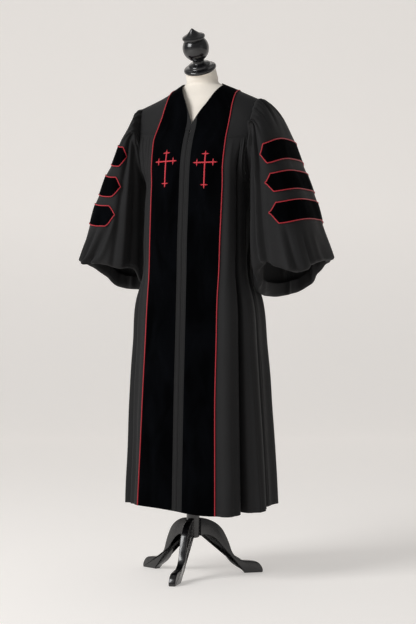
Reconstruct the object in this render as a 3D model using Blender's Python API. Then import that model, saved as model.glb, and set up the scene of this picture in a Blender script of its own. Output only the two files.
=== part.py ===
"""A doctoral graduation gown on a smooth dress form with a turned tripod stand.

Metres, +Z up. The gown's front faces -Y and the wearer's left is +X, so "left" below is +X.
The body of the gown is one continuous surface, cut into yokes, fronts and a back at its seams.
What lies on a piece (velvet, bars, piping) is made from that piece's own points, moved out.
"""

import math

import bmesh
import bpy
import numpy as np
from mathutils import Matrix, Vector

# Cloth
CLOTH = 0.0012  # thickness of the gown's cloth
VELVET = 0.0014  # thickness of the velvet facings and sleeve bars
SEAM = 0.0004  # space left between two pieces at a seam
LIFT = 0.0003  # space under a piece that lies on another
BAR_LIFT = 0.0006  # space under a sleeve bar, whose sleeve is curved both ways
CORD_RADIUS = 0.0015  # the red piping

# Driving heights and widths of the gown
HEM_Z = 0.230
NECK_SIDE_X, NECK_SIDE_Z = 0.0635, 1.562  # where the shoulder seam meets the neckline
SHOULDER_X, SHOULDER_Z = 0.196, 1.494  # where the shoulder seam meets the sleeve
RIDGE_NECK_Y, RIDGE_SHOULDER_Y = 0.038, 0.018  # the shoulder seam's place, front to back
ARMPIT_X, ARMPIT_Z = 0.172, 1.250
V_BOTTOM_Z = 1.428
FRONT_YOKE_Z = {"left": 1.3725, "right": 1.405}  # the front yokes' seams
YOKE_Z = 1.387  # where the skirt begins to drop
BACK_YOKE_Z = 1.405
BACK_NECK_Z = 1.552
SHOULDER_ROUND = 0.075  # height over which the shoulder rounds down to the chest
PLACKET, PLACKET_CORNER = 0.0165, 0.003  # gown cloth that shows each side of the closed front
FACING_SET_BACK = 0.0015  # the velvet stops this short of the neckline
SHOULDER_FACING_X = {"left": 0.1275, "right": 0.088}  # outer edge of the velvet on the shoulder seam
BACK_FACING_DROP = 0.42  # depth of the velvet at the centre back, as a part of the back yoke

# Levels of the body: height, half width, centre, reach to the front and back, squareness
BODY_COLUMNS = ("z", "half_width", "centre_y", "front", "back", "square")
BODY = (
    (1.600, 0.282, 0.030, 0.080, 0.062, 2.2),
    (1.500, 0.260, 0.030, 0.086, 0.078, 2.2),
    (1.430, 0.240, 0.026, 0.087, 0.092, 2.3),
    (1.370, 0.222, 0.020, 0.112, 0.100, 2.4),
    (1.330, 0.210, 0.016, 0.124, 0.104, 2.4),
    (1.290, 0.193, 0.012, 0.129, 0.109, 2.5),
    (ARMPIT_Z, ARMPIT_X, 0.010, 0.132, 0.113, 2.6),
    (1.180, 0.170, 0.010, 0.138, 0.120, 2.8),
    (1.055, 0.170, 0.010, 0.149, 0.132, 3.0),
    (0.940, 0.174, 0.006, 0.150, 0.146, 3.0),
    (0.870, 0.194, 0.000, 0.148, 0.150, 3.0),
    (0.720, 0.208, 0.000, 0.157, 0.156, 2.8),
    (0.560, 0.219, 0.000, 0.167, 0.164, 2.6),
    (0.410, 0.228, 0.000, 0.174, 0.174, 2.4),
    (HEM_Z, 0.238, 0.000, 0.182, 0.184, 2.3),
)

# The velvet's outer edge, as a distance from the centre of the front
FACING_COLUMNS = ("z", "left", "right")
FACING_EDGE = (
    (1.545, 0.126, 0.088),
    (1.500, 0.130, 0.090),
    (1.466, 0.1280, 0.1005),
    (1.430, 0.1235, 0.1135),
    (1.392, 0.1220, 0.1210),
    (1.336, 0.1210, 0.1195),
    (1.280, 0.1185, 0.1185),
    (1.180, 0.1185, 0.1165),
    (1.050, 0.1175, 0.1145),
    (0.900, 0.1157, 0.1160),
    (0.750, 0.1157, 0.1205),
    (0.600, 0.1150, 0.1260),
    (HEM_Z, 0.1190, 0.1420),
)

# The neckline, as a distance from the centre of the front
NECKLINE_COLUMNS = ("z", "left", "right")
NECKLINE = (
    (V_BOTTOM_Z, 0.0, 0.0),
    (1.452, 0.0143, 0.0095),
    (1.473, 0.0300, 0.0160),
    (1.494, 0.0498, 0.0220),
    (1.525, 0.0680, 0.0340),
    (1.548, 0.0765, 0.0460),
    (1.556, 0.0765, 0.0515),
    (1.565, 0.0765, 0.0575),
)
SHOULDER_NECK_X = dict(zip(NECKLINE_COLUMNS[1:], NECKLINE[-1][1:]))

# How much higher the gown's top lies at a distance from the centre, because one shoulder is raised
LEAN_COLUMNS = ("x", "higher")
LEAN = ((-0.50, 0.0), (-0.20, 0.0), (-0.12, -0.006), (-0.05, 0.0), (0.05, 0.0), (0.14, 0.007), (0.28, 0.014), (0.50, 0.014))

# Long folds of each quarter. at is the fold's place from the velvet's edge (0) to the side seam (1), or on
# the back from the centre to the side. wide is its half width on the same scale, and the two depths, in
# metres, are at the fold's top and at the hem; a valley is negative. top_z is where it begins.
FOLD_COLUMNS = ("at", "wide", "top_depth", "hem_depth", "top_z")
FRONT_LEFT_FOLDS = (
    (0.20, 0.17, 0.004, 0.032, 1.36),
    (0.42, 0.050, -0.007, -0.022, 1.35),
    (0.66, 0.16, 0.002, 0.030, 1.20),
    (0.90, 0.050, -0.003, -0.016, 1.05),
)
FRONT_RIGHT_FOLDS = (
    (0.18, 0.10, 0.003, -0.010, 1.36),
    (0.36, 0.055, -0.006, -0.015, 1.35),
    (0.62, 0.13, 0.002, -0.010, 1.20),
    (0.86, 0.060, -0.003, -0.014, 1.05),
)
BACK_FOLDS = (
    (0.12, 0.055, -0.006, -0.026, 1.38),
    (0.25, 0.070, 0.006, 0.016, 1.38),
    (0.38, 0.055, -0.006, -0.026, 1.38),
    (0.52, 0.070, 0.006, 0.018, 1.38),
    (0.66, 0.055, -0.005, -0.024, 1.36),
    (0.82, 0.070, 0.002, 0.016, 1.20),
)
HEM_DROP = 0.022  # the hem hangs this much lower over the left front

# Columns of a front, on a scale where the neckline or the centre is 0, the velvet lies from FACING to EDGE
# and the armhole or the side seam is 1; and rows from the shoulder seam (0) over the yoke seam (1) to the hem (2)
FACING, EDGE = 0.1, 0.5
FRONT_COLUMNS = (0, FACING, 0.24, 0.37, EDGE, 0.53, 0.565, 0.60, 0.64, 0.68, 0.71, 0.74, 0.79, 0.84, 0.89, 0.93, 0.965, 1.0)
YOKE_COLUMNS = (0, FACING, 0.24, 0.37, EDGE, 0.62, 0.74, 0.87, 1.0)
YOKE_ROWS = (0.0, 0.008, 0.03, 0.10, 0.22, 0.40, 0.60, 0.77, 0.88, 1.0)
SKIRT_HEIGHTS = (1.346, 1.296, ARMPIT_Z, 1.180, 1.090, 0.990, 0.915, 0.830, 0.710, 0.570, 0.430, 0.320, HEM_Z)
BACK_COLUMNS = (0, 0.06, 0.12, 0.18, 0.25, 0.32, 0.38, 0.45, 0.52, 0.59, 0.66, 0.74, 0.82, 0.90, 0.95, 1.0)
LEFT_BACK_FACING, RIGHT_BACK_FACING = (SHOULDER_FACING_X[word] / SHOULDER_X for word in ("left", "right"))
BACK_YOKE_COLUMNS = (0, 0.11, 0.21, 0.28, NECK_SIDE_X / SHOULDER_X, 0.40, RIGHT_BACK_FACING, 0.54, LEFT_BACK_FACING, 0.74, 0.87, 1.0)
BACK_YOKE_ROWS = (0.0, 0.08, 0.25, 0.5, 0.75, 1.0, 1.5, 2.0)

# Rings of a sleeve, from the armhole down and then turned up inside the hem. front_drop and back_drop lower a
# ring at its front and back.
SLEEVE_COLUMNS = (
    "outer_x", "outer_z", "inner_x", "inner_z", "centre_y", "half_depth", "front_drop", "back_drop", "square",
)
SLEEVE = (
    (0.1960, 1.494, 0.1720, 1.250, 0.018, 0.070, 0.090, 0.090, 2.0),
    (0.213, 1.491, 0.181, 1.238, 0.018, 0.096, 0.080, 0.080, 2.1),
    (0.231, 1.472, 0.184, 1.224, 0.030, 0.110, 0.060, 0.060, 2.1),
    (0.249, 1.440, 0.184, 1.208, 0.044, 0.122, 0.038, 0.038, 2.2),
    (0.267, 1.404, 0.184, 1.192, 0.052, 0.134, 0.023, 0.023, 2.3),
    (0.284, 1.366, 0.184, 1.176, 0.057, 0.142, 0.014, 0.014, 2.4),
    (0.307, 1.309, 0.184, 1.150, 0.059, 0.148, 0.015, 0.015, 2.5),
    (0.322, 1.271, 0.184, 1.132, 0.058, 0.150, 0.016, 0.016, 2.6),
    (0.344, 1.213, 0.184, 1.104, 0.055, 0.153, 0.017, 0.017, 2.6),
    (0.357, 1.179, 0.184, 1.086, 0.053, 0.156, 0.019, 0.019, 2.6),
    (0.376, 1.121, 0.184, 1.046, 0.050, 0.160, 0.019, 0.022, 2.6),
    (0.394, 1.060, 0.187, 0.986, 0.048, 0.164, 0.018, 0.036, 2.6),
    (0.407, 1.010, 0.192, 0.922, 0.048, 0.166, 0.018, 0.055, 2.6),
    (0.410, 0.990, 0.197, 0.894, 0.048, 0.165, 0.018, 0.062, 2.6),
    (0.400, 0.983, 0.205, 0.890, 0.048, 0.156, 0.018, 0.062, 2.5),
    (0.390, 0.994, 0.212, 0.902, 0.048, 0.146, 0.018, 0.060, 2.4),
)
LOWEST_RING = 13  # the hem
# Height of each sleeve's hem by degrees round it: 0 outside, 90 at the front, 180 beside the body
HEM_COLUMNS = ("degrees", "z")
SLEEVE_HEM = {
    "left": (
        (-180, 0.892), (-150, 0.890), (-125, 0.898), (-105, 0.908), (-90, 0.928), (-78, 0.962), (-66, 0.988), (-50, 1.000), (-25, 1.004),
        (0, 1.001), (20, 0.990), (38, 0.973), (55, 0.962), (75, 0.967), (92, 0.979), (108, 0.994), (122, 0.990), (134, 0.962),
        (150, 0.918), (165, 0.898), (180, 0.892),
    ),
    "right": (
        (-180, 0.918), (-150, 0.912), (-120, 0.912), (-90, 0.917), (-65, 0.921), (-45, 0.932), (-25, 0.956), (-10, 0.978), (5, 0.996),
        (20, 1.006), (35, 1.006), (50, 0.998), (65, 0.993), (80, 0.995), (98, 0.992), (112, 0.984), (126, 0.979), (142, 0.982),
        (155, 0.978), (168, 0.945), (180, 0.918),
    ),
}
# How each sleeve differs from the rings' table
SHIFT_COLUMNS = ("ring", "further_out", "higher", "front_drop")
SLEEVE_SHIFT = {
    "left": ((0, 0, 0, 0), (4, 0, 0, 0.002), (5, 0, 0, 0.009), (6, 0, 0, 0.005), (7, 0, 0.002, 0), (9, 0, 0.004, -0.003), (10, 0, 0.002, 0), (15, 0, 0, 0)),
    "right": (
        (0, 0, 0, 0), (1, -0.004, -0.007, 0), (2, -0.010, -0.008, 0), (3, -0.013, -0.004, 0), (4, -0.014, 0.002, 0), (5, -0.014, 0.006, 0),
        (6, -0.012, 0.005, 0), (7, -0.007, 0.008, 0), (8, -0.005, 0.006, 0), (9, -0.004, 0.008, -0.004), (10, -0.003, 0.005, 0),
        (12, -0.003, 0, 0), (15, -0.004, 0, 0),
    ),
}
SLEEVE_STEPS = 32  # points round a sleeve
CAP_GATHERS, CAP_GATHER_DEPTH = 11, 0.0040
CAP_GATHER_RINGS = (0.0, 0.6, 1.0, 0.8, 0.4, 0.0)
HEM_WAVES, HEM_WAVE_DEPTH = 5, 0.0055
HEM_WAVE_RINGS = (0, 0, 0, 0, 0, 0, 0, 0, 0, 0, 0.10, 0.5, 0.9, 1.0, 0.9, 0.7)

# Bars: each covers the sleeve between two of its rings, round the outer side
BAR_RINGS = ((5, 6), (7, 8), (9, 10))
BAR_BACK = 8  # steps that a bar reaches from the sleeve's outer side to the back
BAR_FRONT = {"left": 8, "right": 9}  # and to the front, as each sleeve hangs
BAR_TIP = 0.04  # height of a bar at its tip, as a part of its full height

# Dress form: level, half width, half depth, centre
FORM_COLUMNS = ("z", "half_width", "centre_y", "front", "back")
FORM_RIDGE_DROP = 0.0027  # from the yoke's outer face down to the form's shoulder, one cloth and a rest
FORM = (
    (0.845, 0.138, 0.012, 0.098, 0.098),
    (0.857, 0.150, 0.012, 0.108, 0.108),
    (0.930, 0.155, 0.012, 0.113, 0.110),
    (1.030, 0.149, 0.012, 0.109, 0.102),
    (1.120, 0.136, 0.010, 0.097, 0.093),
    (1.220, 0.146, 0.008, 0.103, 0.092),
    (1.300, 0.156, 0.010, 0.106, 0.088),
    (1.360, 0.160, 0.014, 0.096, 0.080),
    (1.410, 0.163, 0.021, 0.082, 0.066),
    (1.450, 0.163, 0.028, 0.072, 0.054),
    (1.485, 0.158, 0.028, 0.064, 0.048),
)
FORM_SHOULDER = ((0.145, 0.060, 0.038), (0.105, 0.056, 0.030), (0.0570, 0.050, 0.024))  # half width, front, back
NECK = ((1.568, 0.0530, 0.033, 0.050, 0.036), (1.584, 0.0515, 0.027, 0.050, 0.044))
NECK_TOP_Z, NECK_TOP_Y, NECK_TOP_RADIUS = 1.606, 0.012, 0.0485
NECK_TILT = math.radians(31)  # the cap and finial lean forward
FORM_STEPS = 28

# Turned parts, as radius and height pairs
CAP_PROFILE = ((0.0455, 0.0), (0.0515, 0.0025), (0.0525, 0.008), (0.0490, 0.0115), (0.0375, 0.0130), (0.0360, 0.0185),
               (0.0320, 0.0225), (0.0210, 0.0255), (0.0190, 0.0290))
BALL_RADIUS, BALL_HEIGHT = 0.0424, 0.0744
BALL_TURNS = (29, 40, 54, 68, 82, 96, 110, 124, 135)
TIP_PROFILE = ((0.0335, 0.1060), (0.0370, 0.1095), (0.0362, 0.1140), (0.0290, 0.1180), (0.0190, 0.1240),
               (0.0100, 0.1310), (0.0055, 0.1370), (0.0020, 0.1408))
HUB_PROFILE = ((0.0140, 0.118), (0.0195, 0.122), (0.0210, 0.128), (0.0210, 0.196), (0.0240, 0.202), (0.0240, 0.210),
               (0.0180, 0.220), (0.0145, 0.232))
POLE_RADIUS = 0.0145
STAND_X, STAND_Y = -0.012, -0.020  # the stand's axis

# One leg seen from its side: distance from the stand's axis and height, over its top and back under it
LEG_OUTLINE = ((0.0214, 0.181), (0.046, 0.176), (0.073, 0.163), (0.093, 0.144), (0.106, 0.121), (0.116, 0.098),
               (0.126, 0.070), (0.139, 0.053), (0.159, 0.042), (0.186, 0.039), (0.209, 0.034), (0.222, 0.022),
               (0.228, 0.008), (0.226, 0.0), (0.167, 0.0), (0.160, 0.009), (0.130, 0.029), (0.113, 0.046),
               (0.099, 0.069), (0.087, 0.092), (0.073, 0.109), (0.056, 0.121), (0.037, 0.125), (0.0214, 0.124))
LEG_THICK = 0.022
LEG_TURN = math.radians(6)  # the front leg points this far to the wearer's left of straight ahead


def mix(a, b, f):
    """A value part of the way from a to b."""
    return a + (b - a) * f


def ease(f):
    """A smooth step from 0 to 1."""
    f = min(max(f, 0.0), 1.0)
    return f * f * (3 - 2 * f)


def smooth_rows(names, rows):
    """A function of the first column that gives the others on smooth curves through a table's rows."""
    table = np.array(sorted(rows), float)
    key = table[:, 0]
    slopes = np.gradient(table[:, 1:], key, axis=0)

    def at(level):
        level = min(max(level, key[0]), key[-1])
        i = max(min(int(np.searchsorted(key, level, side="right")) - 1, len(key) - 2), 0)
        span = key[i + 1] - key[i]
        f = (level - key[i]) / span
        start, end = table[i, 1:], table[i + 1, 1:]
        curve = (2 * f**3 - 3 * f**2 + 1) * start + (f**3 - 2 * f**2 + f) * span * slopes[i]
        curve = curve + (3 * f**2 - 2 * f**3) * end + (f**3 - f**2) * span * slopes[i + 1]
        return dict(zip(names[1:], curve.tolist()))

    return at


body_level = smooth_rows(BODY_COLUMNS, BODY)
facing_level = smooth_rows(FACING_COLUMNS, FACING_EDGE)
neck_level = smooth_rows(NECKLINE_COLUMNS, NECKLINE)
shoulder_lean = smooth_rows(LEAN_COLUMNS, LEAN)
sleeve_hem = {word: smooth_rows(HEM_COLUMNS, rows) for word, rows in SLEEVE_HEM.items()}
sleeve_shift = {word: smooth_rows(SHIFT_COLUMNS, rows) for word, rows in SLEEVE_SHIFT.items()}


def ridge_z(x):
    """Height of the shoulder seam over a distance x from the centre."""
    return NECK_SIDE_Z - (abs(x) - NECK_SIDE_X) * (NECK_SIDE_Z - SHOULDER_Z) / (SHOULDER_X - NECK_SIDE_X)


def ridge_y(x):
    """Place of the shoulder seam, front to back, over a distance x from the centre."""
    return mix(RIDGE_NECK_Y, RIDGE_SHOULDER_Y, (max(abs(x), NECK_SIDE_X) - NECK_SIDE_X) / (SHOULDER_X - NECK_SIDE_X))


def armhole_x(z):
    """Distance of the armhole's edge from the centre at a height."""
    return mix(ARMPIT_X, SHOULDER_X, min(max((z - ARMPIT_Z) / (SHOULDER_Z - ARMPIT_Z), 0.0), 1.0))


def wall_y(x, z, front):
    """Where the front or the back of the gown lies over a point of its elevation."""
    level = body_level(z)
    share = min(abs(x) / level["half_width"], 1.0)
    reach = -level["front"] if front else level["back"]
    flat = level["centre_y"] + reach * (1 - share ** level["square"]) ** (1 / level["square"])
    fall = min(max(ridge_z(x) - z, 0.0) / SHOULDER_ROUND, 1.0)
    return ridge_y(x) + (flat - ridge_y(x)) * math.sqrt(1 - (1 - fall) ** 2)


def quarter(z, start_x, front, steps=48):
    """Points of one level from start_x round to the side, with each one's part of the way."""
    level = body_level(z)
    reach = -level["front"] if front else level["back"]
    first = math.asin(min(start_x / level["half_width"], 1.0) ** (level["square"] / 2))
    turn = np.linspace(first, math.pi / 2, steps)
    x = level["half_width"] * np.sin(turn) ** (2 / level["square"])
    y = level["centre_y"] + reach * np.abs(np.cos(turn)) ** (2 / level["square"])
    way = np.concatenate([[0], np.cumsum(np.hypot(np.diff(x), np.diff(y)))])
    return x, y, way / way[-1]


def fold_depth(folds, across, z):
    """How far the folds of a quarter move its cloth out."""
    total = 0.0
    for at, wide, top_depth, hem_depth, top_z in folds:
        grown = (top_z - z) / (top_z - HEM_Z)
        if grown > 0:
            total += mix(top_depth, hem_depth, grown) * ease(grown / 0.06) * math.exp(-(((across - at) / wide) ** 2))
    return total


def pushed(x, y, z, depth, side):
    """A point of a level moved out by depth, on its side of the body, with the hem's own drop."""
    level = body_level(z)
    reach = level["front"] if y < level["centre_y"] else level["back"]
    out = Vector((x / level["half_width"] ** 2, (y - level["centre_y"]) / reach**2, 0)).normalized()
    point = Vector((x, y, z)) + out * depth
    bearing = math.atan2(side * point.x, -point.y)
    down = max((YOKE_Z - z) / (YOKE_Z - HEM_Z), 0.0) ** 4
    point.z -= HEM_DROP * down * math.exp(-(((bearing - 0.6) / 0.7) ** 2))
    return Vector((side * point.x, point.y, point.z))


def skirt_rows(seam_z):
    """Rows from a yoke seam at SKIRT_HEIGHTS."""
    return (1 + 1e-9,) + tuple(1 + (seam_z - SEAM / 2 - z) / (seam_z - SEAM / 2 - HEM_Z) for z in SKIRT_HEIGHTS)


def front_surface(side):
    """Outer points of a yoke and front, by column and row. Rows up to 1 belong to the yoke."""
    word = "left" if side > 0 else "right"

    def width(column, z, shoulder):
        """Distance from the centre of a column, at a height or on the shoulder seam itself."""
        if shoulder:
            inner, edge, outer = SHOULDER_NECK_X[word], SHOULDER_FACING_X[word], SHOULDER_X
            facing = inner + FACING_SET_BACK
        else:
            inner = max(neck_level(z)[word], SEAM / 2)
            near, far = inner + FACING_SET_BACK, PLACKET
            facing = (near + far + math.hypot(near - far, PLACKET_CORNER)) / 2
            edge, outer = facing_level(z)[word], armhole_x(z)
        if column <= FACING:
            return mix(inner, facing, column / FACING)
        if column <= EDGE:
            return mix(facing, edge, (column - FACING) / (EDGE - FACING))
        x, y, way = quarter(ARMPIT_Z, facing_level(ARMPIT_Z)[word], True)
        part = (float(np.interp((column - EDGE) / (1 - EDGE), way, x)) - x[0]) / (x[-1] - x[0])
        return mix(edge, outer, part)

    def at(column, row):
        if row <= 1:
            z = mix(ridge_z(width(column, 0, True)), FRONT_YOKE_Z[word] + SEAM / 2, row)
        else:
            z = mix(FRONT_YOKE_Z[word] - SEAM / 2, HEM_Z, row - 1)
        beyond = (column - EDGE) / (1 - EDGE)
        if z >= ARMPIT_Z or column <= EDGE:
            x = width(column, z, row == 0)
            y = ridge_y(x) if row == 0 else wall_y(x, z, True)
        else:
            xs, ys, way = quarter(z, facing_level(z)[word], True)
            x, y = float(np.interp(beyond, way, xs)), float(np.interp(beyond, way, ys))
        depth = 0.0
        if row > 1 and column > EDGE:
            folds = FRONT_LEFT_FOLDS if side > 0 else FRONT_RIGHT_FOLDS
            depth = fold_depth(folds, beyond, z) * ease(beyond / 0.12) * ease((1 - beyond) / 0.10)
        point = pushed(x, y, z, depth, side)
        point.y -= SEAM / 2
        return point

    return at


def back_surface(column, row):
    """Outer points of the back below its yoke; columns run from -1 at the right side to 1 at the left."""
    z = mix(BACK_YOKE_Z - SEAM / 2, HEM_Z, row - 1)
    side = 1 if column >= 0 else -1
    xs, ys, way = quarter(min(z, ARMPIT_Z), 0.0, False)
    x, y = float(np.interp(abs(column), way, xs)), float(np.interp(abs(column), way, ys))
    if z > ARMPIT_Z:
        x = armhole_x(z) * x / xs[-1]
        y = wall_y(x, z, False)
    depth = fold_depth(BACK_FOLDS, abs(column), z) * ease((1 - abs(column)) / 0.10)
    point = pushed(x, y, z, depth, side)
    point.y += SEAM / 2
    return point


def back_yoke_surface(column, row):
    """Outer points of the back yoke. Row 1 is the velvet's lower edge and row 2 the yoke seam."""
    side, column = (1 if column >= 0 else -1), abs(column)
    x_top = column * SHOULDER_X
    neck = min(x_top / NECK_SIDE_X, 1.0)
    top = mix(BACK_NECK_Z, NECK_SIDE_Z, neck**2) if neck < 1 else ridge_z(x_top)
    last = LEFT_BACK_FACING if side > 0 else RIGHT_BACK_FACING
    edge = 0.06 + BACK_FACING_DROP * max(1 - (column / last) ** 2, 0.0)
    share = edge * row if row <= 1 else mix(edge, 1.0, row - 1)
    z = mix(top, BACK_YOKE_Z + SEAM / 2, share)
    x = column * armhole_x(mix(SHOULDER_Z, BACK_YOKE_Z, share))
    y = wall_y(x, z, False) if share > 0 or neck < 1 else ridge_y(x)
    return Vector((side * x, y + SEAM / 2, z))


def sleeve_surface(side):
    """Outer points of a sleeve by turn (0 outside, a quarter at the front) and ring down from the armhole."""
    word = "left" if side > 0 else "right"
    table = np.array(SLEEVE, float)
    rings = np.arange(len(SLEEVE))

    def at(turn, ring):
        row = {name: float(np.interp(ring, rings, table[:, i])) for i, name in enumerate(SLEEVE_COLUMNS)}
        c, s = math.cos(turn), math.sin(turn)
        if ring == 0:
            z = mix(ARMPIT_Z, SHOULDER_Z, (1 + c) / 2)
            x = armhole_x(z)
            y = wall_y(x, z, s > 0) if abs(s) > 1e-6 and c < 1 else (ridge_y(x) if c > 0 else body_level(z)["centre_y"])
            return Vector((side * (x + SEAM * 3), y, z))
        around = (math.copysign(abs(c) ** (2 / row["square"]), c), math.copysign(abs(s) ** (2 / row["square"]), s))
        shift = sleeve_shift[word](ring)
        x = mix(row["inner_x"], row["outer_x"] + shift["further_out"], (1 + around[0]) / 2)
        y = row["centre_y"] - row["half_depth"] * around[1]
        top = row["outer_z"] + shift["higher"]
        z = top - (row["front_drop"] + shift["front_drop"] if s > 0 else row["back_drop"]) * abs(s) ** 3
        z -= (top - row["inner_z"]) * (max(-c - 0.22, 0.0) / 0.78 if s > 0 else max(-c, 0.0)) ** 1.2
        hem = sleeve_hem[word]((math.degrees(turn) + 180) % 360 - 180)["z"] + row["outer_z"] - SLEEVE[LOWEST_RING][1]
        z = mix(z, hem, ease((ring - 9.5) / (LOWEST_RING - 9.5)))
        outside = (1 + c) / 2
        swell = CAP_GATHER_DEPTH * float(np.interp(ring, range(len(CAP_GATHER_RINGS)), CAP_GATHER_RINGS))
        swell *= outside * math.cos(CAP_GATHERS * turn)
        ripple = math.cos(HEM_WAVES * turn + 0.7 + side * 0.5) + 0.5 * math.cos((HEM_WAVES + 3) * turn + 2.0 * side)
        swell += HEM_WAVE_DEPTH * float(np.interp(ring, rings, HEM_WAVE_RINGS)) * ripple * outside
        return Vector((side * (x + swell * c), y - swell * s, z))

    return at


def grid_of(surface, columns, rows):
    """A surface's points, one list of columns for each row."""
    return np.array([[surface(column, row) for column in columns] for row in rows], float)


def grid_normals(surface, columns, rows, flip, step=0.008):
    """Outward normals of a surface at its grid's points."""
    normals = np.zeros((len(rows), len(columns), 3))
    for r, row in enumerate(rows):
        for c, column in enumerate(columns):
            before, after = max(column - step, columns[0]), min(column + step, columns[-1])
            above, below = max(row - step, rows[0]), min(row + step, rows[-1])
            across = surface(after, row) - surface(before, row)
            down = surface(column, below) - surface(column, above)
            normals[r, c] = down.cross(across).normalized() * flip
    return normals


def leaned(point):
    """A point with the gown's top raised over one shoulder."""
    x, y, z = point
    return x, y, z + shoulder_lean(x)["higher"] * ease((z - ARMPIT_Z) / 0.2)


def add_mesh(name, points, faces, material):
    """A named object whose faces all point out."""
    mesh = bpy.data.meshes.new(name)
    mesh.from_pydata([leaned(point) for point in points], [], faces)
    made = bmesh.new()
    made.from_mesh(mesh)
    bmesh.ops.recalc_face_normals(made, faces=made.faces)
    if made.calc_volume(signed=True) < 0:
        bmesh.ops.reverse_faces(made, faces=made.faces)
    made.to_mesh(mesh)
    made.free()
    mesh.shade_smooth()
    mesh.set_sharp_from_angle(angle=math.radians(50))
    piece = bpy.data.objects.new(name, mesh)
    bpy.context.scene.collection.objects.link(piece)
    mesh.materials.append(material)
    piece.parent = ORIGIN
    return piece


def wall(name, outer, normals, thickness, material, closed=False):
    """A closed solid between a grid of outer points and the same grid moved in by its thickness."""
    inner = outer - normals * thickness
    rows, count = outer.shape[:2]
    points = np.concatenate([outer.reshape(-1, 3), inner.reshape(-1, 3)])
    far = rows * count
    faces = []
    for r in range(rows - 1):
        for c in range(count if closed else count - 1):
            a, b = r * count + c, r * count + (c + 1) % count
            faces.append((a, a + count, b + count, b))
            faces.append((far + a, far + b, far + b + count, far + a + count))
    border = []
    for c in range(count if closed else count - 1):
        border.append((c, (c + 1) % count))
        border.append(((rows - 1) * count + c, (rows - 1) * count + (c + 1) % count))
    if not closed:
        for r in range(rows - 1):
            border.append((r * count, (r + 1) * count))
            border.append((r * count + count - 1, (r + 1) * count + count - 1))
    faces += [(a, b, far + b, far + a) for a, b in border]
    return add_mesh(name, points, faces, material)


def cord(name, path, outs, radius, material, closed=False, sides=5):
    """A round cord along a path of points that stands out from what it lies on."""
    path, outs = np.array(path, float), np.array(outs, float)
    if closed:
        along = np.roll(path, -1, 0) - np.roll(path, 1, 0)
    else:
        along = np.gradient(path, axis=0)
    along /= np.linalg.norm(along, axis=1, keepdims=True)
    cross = np.cross(along, outs)
    cross /= np.linalg.norm(cross, axis=1, keepdims=True)
    up = np.cross(cross, along)
    points = []
    for centre, a, b in zip(path, cross, up):
        for i in range(sides):
            turn = 2 * math.pi * (i + 0.5) / sides + math.pi / 2
            points.append(centre + radius * (math.cos(turn) * a + math.sin(turn) * b))
    faces = []
    count = len(path)
    for r in range(count if closed else count - 1):
        for i in range(sides):
            a, b = r * sides + i, r * sides + (i + 1) % sides
            c, d = (r + 1) % count * sides + i, (r + 1) % count * sides + (i + 1) % sides
            faces.append((a, b, d, c))
    if not closed:
        faces.append(tuple(range(sides)))
        faces.append(tuple((count - 1) * sides + i for i in range(sides)))
    return add_mesh(name, points, faces, material)


def edge_cord(name, grid, normals, edge, inward, material, lift):
    """A cord on the velvet's border. edge and inward index the border's points and the next ones in."""
    border, next_in, outs = grid[edge], grid[inward], normals[edge]
    into = next_in - border
    into /= np.linalg.norm(into, axis=1, keepdims=True)
    path = border + into * CORD_RADIUS + outs * (LIFT + VELVET + lift + CORD_RADIUS)
    return cord(name, path, outs, CORD_RADIUS, material)


def add_body(cloth):
    """The fronts, the back and the three yokes."""
    for word, side in (("left", 1), ("right", -1)):
        surface = front_surface(side)
        for piece, columns, rows in (("yoke", YOKE_COLUMNS, YOKE_ROWS), ("front", FRONT_COLUMNS, skirt_rows(FRONT_YOKE_Z[word]))):
            grid, normals = grid_of(surface, columns, rows), grid_normals(surface, columns, rows, side)
            wall(f"{piece}_{word}", grid, normals, CLOTH, cloth)
    both = tuple(sorted({-c for c in BACK_COLUMNS} | set(BACK_COLUMNS)))
    rows = skirt_rows(BACK_YOKE_Z)
    wall("back", grid_of(back_surface, both, rows), grid_normals(back_surface, both, rows, -1), CLOTH, cloth)
    both = tuple(sorted({-c for c in BACK_YOKE_COLUMNS} | set(BACK_YOKE_COLUMNS)))
    grid = grid_of(back_yoke_surface, both, BACK_YOKE_ROWS)
    wall("yoke_back", grid, grid_normals(back_yoke_surface, both, BACK_YOKE_ROWS, -1), CLOTH, cloth)


def add_facings(velvet, red):
    """The velvet down the fronts and round the neck, each with its piping."""
    columns = tuple(c for c in YOKE_COLUMNS if FACING <= c <= EDGE)
    for word, side in (("left", 1), ("right", -1)):
        rows = YOKE_ROWS + skirt_rows(FRONT_YOKE_Z[word])[1:]
        surface = front_surface(side)
        grid, normals = grid_of(surface, columns, rows), grid_normals(surface, columns, rows, side)
        wall(f"velvet_{word}", grid + normals * (LIFT + VELVET), normals, VELVET, velvet)
        every = np.arange(len(rows))
        last = len(columns) - 1
        edge_cord(f"piping_{word}", grid, normals, (every, last), (every, last - 1), red, LIFT)
    half = set(BACK_YOKE_COLUMNS)
    columns = tuple(c for c in sorted({-c for c in half} | half) if -RIGHT_BACK_FACING <= c <= LEFT_BACK_FACING)
    rows = tuple(r for r in BACK_YOKE_ROWS if r <= 1)
    grid = grid_of(back_yoke_surface, columns, rows)
    normals = grid_normals(back_yoke_surface, columns, rows, -1)
    wall("velvet_neck", grid + normals * (LIFT + VELVET), normals, VELVET, velvet)
    every = np.arange(len(columns))
    last = len(rows) - 1
    edge_cord("piping_neck", grid, normals, (last, every), (last - 1, every), red, LIFT * 2)


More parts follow.
